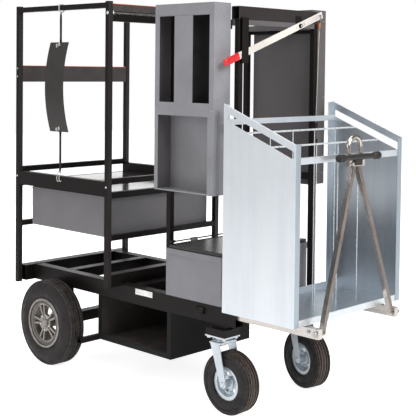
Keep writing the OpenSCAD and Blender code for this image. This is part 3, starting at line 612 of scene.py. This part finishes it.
usual_edge = 0.0016
soft_edge = {"near_locker": 0.0012, "far_locker": 0.0012, "storage_bin": 0.0007, "deck_box": 0.0007,
             "deck_lid": 0.0007, "flag_panels": 0.0006, "flag_rails": 0.0006, "locker_liners": 0.0005,
             "lid_mat": 0.003, "shelf_panel": 0.001, "rear_rim_near": 0.0010, "rear_rim_far": 0.0010,
             "post_caps": 0.0012, "tow_arms": 0.0015, "clamp_boards": 0.0015, "tow_handle": 0.0045,
             "brake_lever": 0.0012}
unbevelled = {"flag_dividers", "brake_cable", "cable_casing", "header_rod", "bungee_cord"}
for material, names in finishes.items():
    for name in names:
        node = nodes[name]
        node.data.materials.clear()
        node.data.materials.append(material)
        weld = node.modifiers.new("weld", "WELD")
        weld.merge_threshold = 0.00002
        if name not in unbevelled:
            bevel = node.modifiers.new("bevel", "BEVEL")
            bevel.width = soft_edge.get(name, usual_edge)
            bevel.segments = 2
            bevel.limit_method = "ANGLE"
            bevel.angle_limit = math.radians(50)
            bevel.harden_normals = False
        smooth = node.modifiers.new("normals", "WEIGHTED_NORMAL")
        smooth.keep_sharp = True


# Small parts the CAD leaves to the looks ---------------------------------------------------

post_out = high_of("tall_posts").y
post_in = high_of("header_rail").y
post_w = post_out - post_in
rear_x = low_of("tall_posts").x
mid_x1 = high_of("tall_posts").x
mid_x0 = mid_x1 - post_w
inner_x = low_of("front_bay_posts").x
front_x = high_of("front_bay_posts").x
bay_y = high_of("front_bay_posts").y
rail_out = high_of("side_rails").y
rail_in = rail_out - 0.050
rail_low, rail_top = low_of("side_rails").z, high_of("side_rails").z
fascia = mid("shelf_fascias")
header = mid("header_rod")
hanger = high_of("locker_hangers")
board_screws_z = (1.430, 1.390)
beam_bolts_z = 0.955

# Bolts and screws
bm = bmesh.new()
for s in (-1, 1):
    for x in (rear_x + post_w / 2, mid_x0 + post_w / 2):
        dome_head(bm, (x, s * post_out, fascia.z + 0.008), (0, s, 0), 0.0048, 0.003)
    dome_head(bm, (header.x, s * post_out, header.z), (0, s, 0), 0.0078, 0.004)
    for z in board_screws_z:
        dome_head(bm, (rear_x + post_w / 2, s * post_out, z), (0, s, 0), 0.0038, 0.0024)
    for x in (inner_x + post_w / 2, front_x - post_w / 2):
        bolt_head(bm, (x, s * (bay_y + 0.010), beam_bolts_z), (0, s, 0), 0.010, 0.004)
    bolt_head(bm, (inner_x + post_w / 2, s * hanger.y, hanger.z - 0.019), (0, s, 0), 0.010, 0.004)
make("frame_bolts", bm, zinc, "frame")

# Header rod's end collars
bm = bmesh.new()
for s in (-1, 1):
    m = facing((header.x, s * (post_in - 0.012), header.z), (0, s, 0))
    lathe(bm, [(0.0082, 0), (0.0112, 0.0008), (0.0115, 0.004), (0.0115, 0.010), (0.0105, 0.0119),
               (0.0082, 0.0119)], m, 32)
make("rod_collars", bm, pin, "frame")

# Weld beads where tubes meet
bm = bmesh.new()
member_edges = (-0.661, -0.611, -0.173, -0.123)
cross_tubes = ((0.640, 0.666, rear_x), (0.912, 0.939, rear_x), (0.646, 0.670, mid_x0),
               (0.904, 0.931, mid_x0), (low_of("header_rail").z, high_of("header_rail").z, mid_x0))


def beads_on_x(x, y0, y1, z0, z1):
    """Beads under and over the end of a tube that butts on a plane of constant X."""
    for z in (z0, z1):
        bead(bm, [(x, y0, z), (x, y1, z)])


def beads_on_y(y, x0, x1, z0, z1):
    """The same on a plane of constant Y."""
    for z in (z0, z1):
        bead(bm, [(x0, y, z), (x1, y, z)])


rail_a, rail_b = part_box("top_side_rails")
fas_a, fas_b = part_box("shelf_fascias")
saddle_a, saddle_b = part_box("saddle_beam")
hang_a, hang_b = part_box("axle_hangers")
box_a, box_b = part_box("under_box")
outer = high_of("rear_outrigger").x
beam_low = low_of("front_beam").z
for s in (-1, 1):
    for x in (rear_x + post_w, mid_x0):
        beads_on_x(x, s * post_out, s * post_in, rail_a.z, rail_b.z)
        beads_on_x(x, s * post_out, s * post_in, fas_a.z, fas_b.z)
    for z0, z1, x0 in cross_tubes:
        beads_on_y(s * post_in, x0, x0 + post_w, z0, z1)
    bead(bm, [(mid_x0, s * post_in, saddle_b.z), (mid_x0, s * post_in, saddle_a.z),
              (mid_x1, s * post_in, saddle_a.z)])
    bead(bm, [(saddle_a.x, s * rail_out, rail_top), (saddle_b.x, s * rail_out, rail_top)])
    bead(bm, [(saddle_b.x, s * rail_out, rail_top), (saddle_b.x, s * rail_in, rail_top)])
    bead(bm, [(saddle_a.x, s * rail_out, rail_top), (saddle_a.x, s * rail_in, rail_top)])
    bead(bm, [(outer, s * rail_out, rail_low), (outer, s * rail_out, rail_top)], 0.0026)
    bead(bm, [(outer, s * rail_out, rail_top), (outer, s * rail_in, rail_top)], 0.0026)
    for x in (inner_x, front_x - post_w):
        x1, y0, y1 = x + post_w, bay_y - post_w, bay_y
        for a, b in (((x, y1), (x1, y1)), ((x, y0), (x1, y0)), ((x, y0), (x, y1)), ((x1, y0), (x1, y1))):
            bead(bm, [(a[0], s * a[1], rail_top), (b[0], s * b[1], rail_top)])
    bead(bm, [(front_x, s * bay_y, beam_low), (front_x - post_w, s * bay_y, beam_low)])
    for x in member_edges:
        bead(bm, [(x, s * rail_in, rail_top - 0.050), (x, s * rail_in, rail_top)])
    bead(bm, [(hang_a.x, s * hang_b.y, rail_low), (hang_b.x, s * hang_b.y, rail_low)])
bead(bm, [(box_a.x, -rail_out + 0.001, rail_low), (box_b.x, -rail_out + 0.001, rail_low)])
make("weld_beads", bm, black, "frame", 60)

# Rear wheels: lug nuts in the spoke roots, hub cap, rolled lip, valve and sidewall ring
for side, s in (("near", -1), ("far", 1)):
    centre = mid("rear_tyre_" + side)
    out = Vector((0, s, 0))
    body = "rear_wheel_" + side
    bm = bmesh.new()
    for k in range(5):
        a = 2 * pi * k / 5 + pi / 5 + pi / 2
        spot = centre + Vector((0.034 * math.cos(a), s * 0.0365, 0.034 * math.sin(a)))
        m = facing(spot, out)
        lathe(bm, [(0, 0), (0.0046, 0), (0.0046, 0.006), (0.0040, 0.0072), (0, 0.0075)], m, 16)
        bolt_head(bm, spot + out * 0.0002, out, 0.0082, 0.0045, False, a)
    make("lug_nuts_" + side, bm, zinc, body)
    bm = bmesh.new()
    m = facing(centre + out * 0.0440, out)
    lathe(bm, [(0.0205, 0.0), (0.0215, 0.0008), (0.0210, 0.0022), (0.0186, 0.0030), (0.0180, 0.0042),
               (0.0165, 0.0056), (0.010, 0.0066), (0, 0.0070)], m, 48)
    make("hub_cap_" + side, bm, rims[side], body)
    bm = bmesh.new()
    face = abs(high_of("rear_rim_" + side).y - centre.y)
    lathe(bm, [(0.1072, 0.0001), (0.1076, 0.0026), (0.1092, 0.0044), (0.1120, 0.0052), (0.1156, 0.0046),
               (0.1180, 0.0028), (0.1190, 0.0001)], facing(centre + out * face, out), 120)
    make("rim_lip_" + side, bm, rims[side], body)
    bm = bmesh.new()
    a = 0.65
    spot = centre + Vector((0.0800 * math.cos(a), s * 0.0330, 0.0800 * math.sin(a)))
    m = facing(spot, (0.25 * math.cos(a), s, 0.25 * math.sin(a)))
    lathe(bm, [(0, -0.006), (0.0042, -0.006), (0.0040, 0.004), (0.0030, 0.006), (0.0030, 0.013),
               (0.0036, 0.0132), (0.0036, 0.0195), (0.0028, 0.0205), (0, 0.0206)], m, 20)
    make("valve_" + side, bm, cap_plastic, body)
    bm = bmesh.new()
    for t in (-1, 1):
        m = facing(centre, (0, t, 0))
        lathe(bm, [(0.1190, 0.0405), (0.1225, 0.0438), (0.1262, 0.0458), (0.1290, 0.0468),
                   (0.1305, 0.0462), (0.1300, 0.0440)], m, 96)
    make("bead_ring_" + side, bm, nodes["rear_tyre_" + side].data.materials[0], body)

# Casters: raceway ring, axle washers, rim bolts and valve
for side, s in (("near", -1), ("far", 1)):
    swivel = joints["caster_" + side + "_swivel"]["pos_m"]
    spin = joints["caster_" + side + "_spin"]
    fork = "fork_" + side
    axis = Vector(spin["axis"])
    axle = Vector(spin["pos_m"])
    bm = bmesh.new()
    m = facing((swivel[0], swivel[1], 0.2985), (0, 0, 1))
    lathe(bm, [(0.0365, 0.0), (0.0405, 0.0003), (0.0418, 0.0018), (0.0418, 0.0034), (0.0395, 0.0041),
               (0.0368, 0.0041)], m, 64)
    for t in (-1, 1):
        m = facing(axle + axis * t * 0.0474, axis * -t)
        lathe(bm, [(0.0066, 0), (0.0125, 0), (0.0125, 0.0011), (0.0066, 0.0011)], m, 32)
    make("fork_trim_" + side, bm, zinc, fork)
    bm = bmesh.new()
    m = facing(axle, axis)
    for t in (-1, 1):
        for k in range(6):
            a = pi / 3 * k + pi / 6
            spot = m @ Vector((0.0395 * math.cos(a), 0.0395 * math.sin(a), t * 0.0030))
            bolt_head(bm, spot, axis * t, 0.0085, 0.0042, True, a)
    make("rim_bolts_" + side, bm, zinc, "caster_" + side)
    bm = bmesh.new()
    spot = facing(axle, axis * s) @ Vector((0.0500, 0.0, 0.0050))
    lathe(bm, [(0, -0.004), (0.0038, -0.004), (0.0034, 0.004), (0.0026, 0.006), (0.0026, 0.012),
               (0.0032, 0.0122), (0.0032, 0.0172), (0.0024, 0.018), (0, 0.018)], facing(spot, axis * s), 18)
    make("caster_valve_" + side, bm, cap_plastic, "caster_" + side)

# Locker screws on the outer face and on both ends
bm = bmesh.new()
for side, s in (("near", -1), ("far", 1)):
    a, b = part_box(side + "_locker")
    face = s * max(abs(a.y), abs(b.y))
    for z in (a.z + 0.020, 1.2620, b.z - 0.020):
        for x in (a.x + 0.010, b.x - 0.010):
            dome_head(bm, (x, face, z), (0, s, 0), 0.0030, 0.0016)
    for z in (a.z + 0.05, (a.z + b.z) / 2, b.z - 0.05):
        for x, d in ((a.x, -1), (b.x, 1)):
            dome_head(bm, (x, face - s * 0.012, z), (d, 0, 0), 0.0030, 0.0016)
make("locker_screws", bm, pin, "frame")

# Deck lid: rolled hem along three sides of its skirt
lid_a, lid_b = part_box("deck_lid")
skirt_low = 0.622
hem_z = skirt_low + 0.0012
bm = bmesh.new()
pipe(bm, [(lid_a.x + 0.004, lid_a.y + 0.0002, hem_z), (lid_b.x - 0.0002, lid_a.y + 0.0002, hem_z),
          (lid_b.x - 0.0002, lid_b.y - 0.0002, hem_z), (lid_a.x + 0.004, lid_b.y - 0.0002, hem_z)], 0.0014, 8)
make("lid_hem", bm, deck_gray, "lid")

# Bin: rolled rim along its top
bin_a, bin_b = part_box("storage_bin")
bm = bmesh.new()
for y in (bin_a.y + 0.001, bin_b.y - 0.001):
    pipe(bm, [(bin_a.x + 0.013, y, bin_b.z - 0.0018), (bin_b.x - 0.013, y, bin_b.z - 0.0018)], 0.0021, 10)
make("bin_rim", bm, bin_gray, "bin")

# Flag box: hemmed edges on both panels and screws in the floor
flag_a, flag_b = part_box("flag_panels")
floor_z = low_of("flag_rails").z
front_drop = 0.145
floor_screw_y = 0.261
rear_top, front_top = flag_b.z, flag_b.z - front_drop
bm = bmesh.new()
for s in (-1, 1):
    y = s * (flag_b.y - 0.0010)
    hem = [(flag_a.x + 0.0012, y, flag_a.z + 0.003), (flag_a.x + 0.0012, y, rear_top - 0.0015),
           (flag_b.x - 0.0012, y, front_top - 0.0015), (flag_b.x - 0.0012, y, flag_a.z + 0.003)]
    for a, b in zip(hem, hem[1:]):
        pipe(bm, [a, b], 0.0017, 10)
make("flag_hems", bm, zinc_sheet, "frame")
bm = bmesh.new()
for x in (flag_a.x + 0.055, flag_b.x - 0.055):
    for y in (-floor_screw_y, floor_screw_y):
        dome_head(bm, (x, y, floor_z + 0.002), (0, 0, 1), 0.0065, 0.0030)
make("flag_rivets", bm, pin, "frame")

# Pivot bolts of the tow handle and end bolts of the tow arms
bm = bmesh.new()
tow = Vector(joints["tow_handle_pivot"]["pos_m"])
arm = high_of("tow_arms").y
for s in (-1, 1):
    bolt_head(bm, (tow.x, s * (arm + 0.0061), tow.z), (0, s, 0), 0.015, 0.007)
    bolt_head(bm, (tow.x - 0.035, s * arm, tow.z + 0.004), (0, s, 0), 0.011, 0.004)
make("tow_bolts", bm, pin, "frame")

# Tow grip: moulded rubber sleeve with flared, ribbed ends
grip_a, grip_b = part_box("tow_grip")
gx, gz = grip_b.x - 0.018, grip_b.z - 0.018
bm = bmesh.new()
for s in (-1, 1):
    profile = [(0, 0.140), (0.0105, 0.1399), (0.0148, 0.1380), (0.0160, 0.1345), (0.0160, 0.1300)]
    for k in range(5):
        h = 0.1290 - k * 0.0052
        profile += [(0.0154, h), (0.0140, h - 0.0008), (0.0140, h - 0.0020), (0.0154, h - 0.0030)]
    profile += [(0.0142, 0.1020), (0.0122, 0.0985), (0.0112, 0.0960), (0.0112, 0.0500), (0.0108, 0.0300),
                (0.0112, 0.0280), (0.0112, 0.0)]
    lathe(bm, profile, facing((gx, 0, gz), (0, s, 0)), 48)
bmesh.ops.remove_doubles(bm, verts=bm.verts, dist=0.00002)
block = bmesh.ops.create_cube(bm, size=1.0)["verts"]
for v in block:
    v.co = Vector((grip_a.x + 0.013 + v.co.x * 0.010, v.co.y * 0.052, gz - 0.017 + v.co.z * 0.034))
block_edges = list({e for v in block for e in v.link_edges})
bmesh.ops.bevel(bm, geom=block_edges, offset=0.0018, segments=2, affect="EDGES")
tow_grip = make("tow_grip_sleeve", bm, grip_rubber, "handle")
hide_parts("tow_grip")

# Brake lever: dipped vinyl grip, pivot bolt and two small screws on the bar
pivot = Vector(joints["brake_lever_pivot"]["pos_m"])
slope = math.radians(19.4)
along = Vector((0, math.cos(slope), math.sin(slope)))
bar_up = Vector((0, -math.sin(slope), math.cos(slope)))
grip_sections = ((-0.4195, 0.0150, 0.0070), (-0.4215, 0.0158, 0.0082), (-0.4260, 0.0154, 0.0084),
                 (-0.4400, 0.0148, 0.0086), (-0.4600, 0.0146, 0.0090), (-0.4850, 0.0150, 0.0094),
                 (-0.5000, 0.0150, 0.0092), (-0.5060, 0.0132, 0.0078), (-0.5078, 0.0090, 0.0052))
bm = bmesh.new()
rings = []
for d, wide, thick in grip_sections:
    ring = []
    for k in range(28):
        a = 2 * pi * k / 28
        c, n = math.cos(a), math.sin(a)
        u = math.copysign(abs(c) ** 0.55, c) * wide
        v = math.copysign(abs(n) ** 0.55, n) * thick
        ring.append(bm.verts.new(pivot + along * d + bar_up * u + Vector((v, 0, 0))))
    rings.append(ring)
for a, b in zip(rings, rings[1:]):
    bridge(bm, a, b)
bm.faces.new(list(reversed(rings[0])))
bm.faces.new(rings[-1])
grip = make("lever_grip_sleeve", bm, red, "lever")
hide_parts("lever_grip")
bm = bmesh.new()
bar_face = 0.0032
bolt_head(bm, pivot + Vector((0.0100, 0, 0)), (1, 0, 0), 0.0125, 0.005, False)
for d in (-0.028, 0.030):
    dome_head(bm, pivot + along * d + Vector((bar_face, 0, 0)), (1, 0, 0), 0.0032, 0.0018)
make("lever_bolts", bm, pin, "lever")

# Blank plate on the near rail: thin plain card
card_place = Vector((-0.0535, -rail_out - 0.0004, 0.424))
card_size = (0.113, 0.0010, 0.026)
bm = bmesh.new()
for v in bmesh.ops.create_cube(bm, size=1.0)["verts"]:
    v.co = card_place + Vector([c * extent for c, extent in zip(v.co, card_size)])
bmesh.ops.bevel(bm, geom=list(bm.edges), offset=0.0004, segments=2, affect="EDGES")
make("blank_plate", bm, label, "frame")

# Hook on the near rail: bent wire catch, as (X from its middle, distance off the rail, Z)
hook_x = 0.303
hook = ((-0.016, 0.008, 0.421), (-0.016, 0.016, 0.414), (-0.010, 0.020, 0.398), (0.004, 0.019, 0.392),
        (0.014, 0.018, 0.400), (0.017, 0.018, 0.412))
bm = bmesh.new()
pipe(bm, curved([(hook_x + x, -rail_out - off, z) for x, off, z in hook]), 0.0030, 12)
make("rail_hook", bm, fitting, "frame")

# Bungee: two braided strands knotted through the plate, white loop over the rail, hooks on the fascia
plate_a, plate_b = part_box("flex_plate")
px = (plate_a.x + plate_b.x) / 2
back = -post_out + 0.008
skin = -post_out - 0.0065
hole_top, hole_low = plate_b.z - 0.014, plate_a.z + 0.014
bm = bmesh.new()
knots = bmesh.new()
for s in (-1, 1):
    gap = 0.0070 * s
    near_x, hole_x = px + gap * 0.46, px + gap
    pipe(bm, curved([(px, back, rail_a.z - 0.012), (near_x, back, rail_a.z - 0.040),
                     (near_x, back, hole_top + 0.030), (hole_x, back - 0.001, hole_top + 0.004),
                     (hole_x, skin, hole_top)], 10), 0.0033, 12)
    pipe(bm, curved([(px, back, fas_b.z + 0.012), (near_x, back, fas_b.z + 0.045),
                     (near_x, back, hole_low - 0.030), (hole_x, back - 0.001, hole_low - 0.004),
                     (hole_x, skin, hole_low)], 10), 0.0033, 12)
    for z in (hole_top, hole_low):
        knot = []
        for k in range(36):
            t = 2 * pi * k / 36
            swing = 0.0030 + 0.0012 * math.cos(3 * t)
            knot.append(Vector((px + gap * 1.25 + swing * math.cos(2 * t),
                                skin - 0.002 - 0.0016 * math.sin(3 * t),
                                z + 0.003 * s + swing * 2.1 * math.sin(2 * t))))
        pipe(knots, knot, 0.0019, 8, True)
cord = make("bungee", bm, cord_black, "frame", 180)
make("bungee_knots", knots, cord_white, "frame", 180)
bm = bmesh.new()
y_out, y_in = -post_out - 0.0032, -post_in + 0.0032
under, over, tail = rail_a.z - 0.0032, rail_b.z + 0.0032, rail_a.z - 0.009
pipe(bm, curved([(px, back, tail), (px, y_out + 0.003, under - 0.002), (px, y_out, under + 0.006),
                 (px, y_out, over - 0.004), (px, y_out + 0.004, over), (px, y_in - 0.004, over),
                 (px, y_in, over - 0.004), (px, y_in, under + 0.006), (px, y_in - 0.004, under - 0.002),
                 (px, back, tail)], 6), 0.0026, 12)
top = fas_b.z + 0.0032
for s in (-1, 1):
    x1 = px + 0.009 * s
    pipe(bm, curved([(px + 0.002 * s, back, top + 0.026), (x1 - 0.003, -post_out + 0.004, top + 0.012),
                     (x1, -post_out - 0.0010, top + 0.001), (x1 - 0.003, -post_out - 0.0036, top - 0.012),
                     (x1 + 0.001, -post_out - 0.0038, top - 0.024),
                     (x1 + 0.007, -post_out - 0.0040, top - 0.030),
                     (x1 + 0.013, -post_out - 0.0040, top - 0.025)], 8), 0.0019, 12)
make("bungee_loops", bm, cord_white, "frame", 180)
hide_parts("bungee_cord")

# Sleeve along the brake's inner wire, from the lever's eye to the wire's lower end
cable = nodes["brake_cable"]
spots = [cable.matrix_world @ v.co for v in cable.data.vertices]
spots.sort(key=lambda p: p.z)
foot = sum(spots[:12], Vector()) / 12
eye_spot = Vector(joints["brake_cable_eye"]["pos_m"])
bm = bmesh.new()
pipe(bm, [eye_spot.lerp(foot, 0.14), eye_spot.lerp(foot, 0.985)], 0.0019, 14)
make("cable_sleeve", bm, sleeve, "cable")


# Second finishes: parts of a node that differ, and faces given painted shade or painted light
# -----------------

# Painted light: the under-box's inside is lighter than its black sheet, standing in for light bouncing into
# it.
inside = paint("box_inside_painted_light", rgb("#4d4846"), 0.45, rgb("#6a6561"), wear=0.2)


def repaint(name, material, wanted, direction=None):
    """Second finish on a node's faces whose centre passes a test and that look along direction."""
    data = nodes[name].data
    data.materials.append(material)
    slot = len(data.materials) - 1
    for face in data.polygons:
        if wanted(face.center) and (direction is None or face.normal.dot(Vector(direction)) > 0.7):
            face.material_index = slot


def within(c, low, high, margin):
    """True if a point lies inside a box by more than a margin."""
    return all(low[i] + margin < c[i] < high[i] - margin for i in range(3))


# Painted light: the under-box's inner faces get the lighter inside finish.
repaint("under_box", inside, lambda c: within(c, box_a, box_b, 0.002))
mounts_top = high_of("caster_mounts").z
repaint("caster_mounts", black, lambda c: c.z > mounts_top - 0.0455)
repaint("frame_fittings", pin, lambda c: abs(c.y) > 0.2235 and 0.400 < c.z < 0.432 and c.x > 0.89)
repaint("frame_fittings", label, lambda c: c.y < -rail_out - 0.0001 and -0.2 < c.x < 0.05 and c.z > 0.40)
flag_in = flag_b.y - 0.0012
# Painted shade: the flag panels' inner faces get the darker zinc.
repaint("flag_panels", zinc_inside_painted_shade, lambda c: abs(c.y) < flag_in and c.z < 1.30)
# Painted shade: the tops of the low flag rails and the faces at the flag box's front get the darker zinc.
repaint("flag_rails", zinc_front_painted_shade, lambda c: c.z < 0.5, (0, 0, 1))
for name in ("flag_panels", "flag_rails"):
    repaint(name, zinc_front_painted_shade, lambda c: c.x > flag_b.x - 0.0015)
# Painted shade: the lockers' back faces, the near locker's front-facing walls set back from its front, and
# the far locker's front end get the darker gray.
for name in ("near_locker", "far_locker"):
    back_y = min(abs(low_of(name).y), abs(high_of(name).y))
    repaint(name, bay_gray, lambda c: abs(c.y) < back_y + 0.0005)
locker_front = high_of("near_locker").x - 0.003
repaint("near_locker", bay_gray, lambda c: c.x < locker_front, (1, 0, 0))
repaint("far_locker", bay_gray, lambda c: c.x > 0, (1, 0, 0))
# Painted shade: the bin's front end gets the darker gray.
repaint("storage_bin", bin_shade, lambda c: c.x > 0, (1, 0, 0))
# Painted light: the tall posts' front-facing faces get the lighter black.
repaint("tall_posts", beam_black_and_painted_light, lambda c: True, (1, 0, 0))
for name in ("deck_lid", "deck_box"):
    repaint(name, grip_rubber, lambda c: True, (0, 0, 1))
# Painted shade: the tow legs' front-facing faces below the grip get the darker nickel.
repaint("tow_handle", nickel_painted_shade, lambda c: c.z < grip_a.z - 0.010, (1, 0, 0))
cable_top = high_of("brake_cable")
wire_x, wire_y = mid("brake_cable").x, cable_top.y - 0.0075
repaint("brake_cable", sleeve_orange, lambda c: cable_top.z - 0.062 < c.z < cable_top.z - 0.030
        and math.hypot(c.x - wire_x, c.y - wire_y) > 0.0022)


# Camera ---------------------------------------------------------------------------------------

eye = Vector((3.239, -3.304, 1.423))
yaw, pitch, roll = math.radians(46.1), math.radians(-2.0), math.radians(0.6)
ahead = Vector((-math.cos(yaw) * math.cos(pitch), math.sin(yaw) * math.cos(pitch), math.sin(pitch)))
across = Vector((math.sin(yaw), math.cos(yaw), 0))
upward = across.cross(ahead)
right = math.cos(roll) * across + math.sin(roll) * upward
top = -math.sin(roll) * across + math.cos(roll) * upward
camera = bpy.data.objects.new("camera", bpy.data.cameras.new("camera"))
camera.data.sensor_width = 36
camera.data.lens = 86.35
camera.data.shift_y = -0.2438
camera.matrix_world = Matrix.Translation(eye) @ Matrix((right, top, -ahead)).transposed().to_4x4()
bpy.context.scene.collection.objects.link(camera)
bpy.context.scene.camera = camera


# Studio ----------------------------------------------------------------------------------------

def softbox(name, place, target, size, power, tint=(1, 1, 1)):
    light = bpy.data.lights.new(name, "AREA")
    light.shape = "RECTANGLE"
    light.size, light.size_y = size
    light.energy = power
    light.color = tint
    made = bpy.data.objects.new(name, light)
    made.matrix_world = facing(place, Vector(place) - Vector(target))
    bpy.context.scene.collection.objects.link(made)


softbox("key", (4.2, -0.6, 3.3), (0, 0, 0.9), (3.0, 2.4), 170)
softbox("side", (4.2, 3.7, 1.4), (0.2, 0, 0.8), (2.4, 2.6), 9)
softbox("near", (-0.4, -5.0, 2.2), (0, 0, 0.9), (3.4, 2.4), 42)
softbox("top", (-0.4, -0.2, 4.6), (0, 0, 0.8), (3.6, 2.6), 70)
softbox("back", (-4.4, 3.8, 1.8), (0, 0, 0.9), (4.6, 2.8), 38)

# White surround for the eye, a softer graded one for light and reflections
world = bpy.data.worlds.new("studio")
world.use_nodes = True
sky = world.node_tree
seen = sky.nodes["Background"]
seen.inputs["Color"].default_value = (1, 1, 1, 1)
seen.inputs["Strength"].default_value = 1.0
glow = sky.nodes.new("ShaderNodeBackground")
coord = sky.nodes.new("ShaderNodeTexCoord")
parts = sky.nodes.new("ShaderNodeSeparateXYZ")
lean = sky.nodes.new("ShaderNodeVectorMath")
lean.operation = "DOT_PRODUCT"
lean.inputs[1].default_value = (-0.70, -0.72, 0)
grade = sky.nodes.new("ShaderNodeMapRange")
side = sky.nodes.new("ShaderNodeMapRange")
total = sky.nodes.new("ShaderNodeMath")
total.operation = "MULTIPLY"
sky.links.new(coord.outputs["Generated"], parts.inputs[0])
sky.links.new(parts.outputs["Z"], grade.inputs["Value"])
sky.links.new(coord.outputs["Generated"], lean.inputs[0])
sky.links.new(lean.outputs["Value"], side.inputs["Value"])
for ranged, values in ((grade, (-0.2, 0.9, 0.16, 0.46)), (side, (-0.6, 1.0, 0.75, 2.4))):
    for key, amount in zip(range_sockets, values):
        ranged.inputs[key].default_value = amount
sky.links.new(grade.outputs["Result"], total.inputs[0])
sky.links.new(side.outputs["Result"], total.inputs[1])
sky.links.new(total.outputs[0], glow.inputs["Strength"])
path = sky.nodes.new("ShaderNodeLightPath")
both = sky.nodes.new("ShaderNodeMixShader")
sky.links.new(path.outputs["Is Camera Ray"], both.inputs[0])
sky.links.new(glow.outputs[0], both.inputs[1])
sky.links.new(seen.outputs[0], both.inputs[2])
sky.links.new(both.outputs[0], sky.nodes["World Output"].inputs["Surface"])
bpy.context.scene.world = world
bpy.context.scene.view_settings.view_transform = "Standard"

floor_graph = Graph("studio_floor")
cloud = floor_graph.ramp(floor_graph.noise(0.6, 3), 0.3, 0.7)
pale = floor_graph.mix(cloud, (0.86, 0.86, 0.86, 1), (0.90, 0.90, 0.90, 1))
floor_material = floor_graph.finish(pale, 0.75, None, specular=0.2)
floor_graph.shader.inputs["Emission Color"].default_value = (1, 1, 1, 1)
seen_ray = floor_graph.node("ShaderNodeLightPath").outputs["Is Camera Ray"]
glowing = floor_graph.math("MULTIPLY_ADD", seen_ray, 0.60, 0.22)
floor_graph.link(glowing, floor_graph.shader.inputs["Emission Strength"])
bm = bmesh.new()
bmesh.ops.create_grid(bm, x_segments=2, y_segments=2, size=15)
floor = make("floor", bm, floor_material, None)
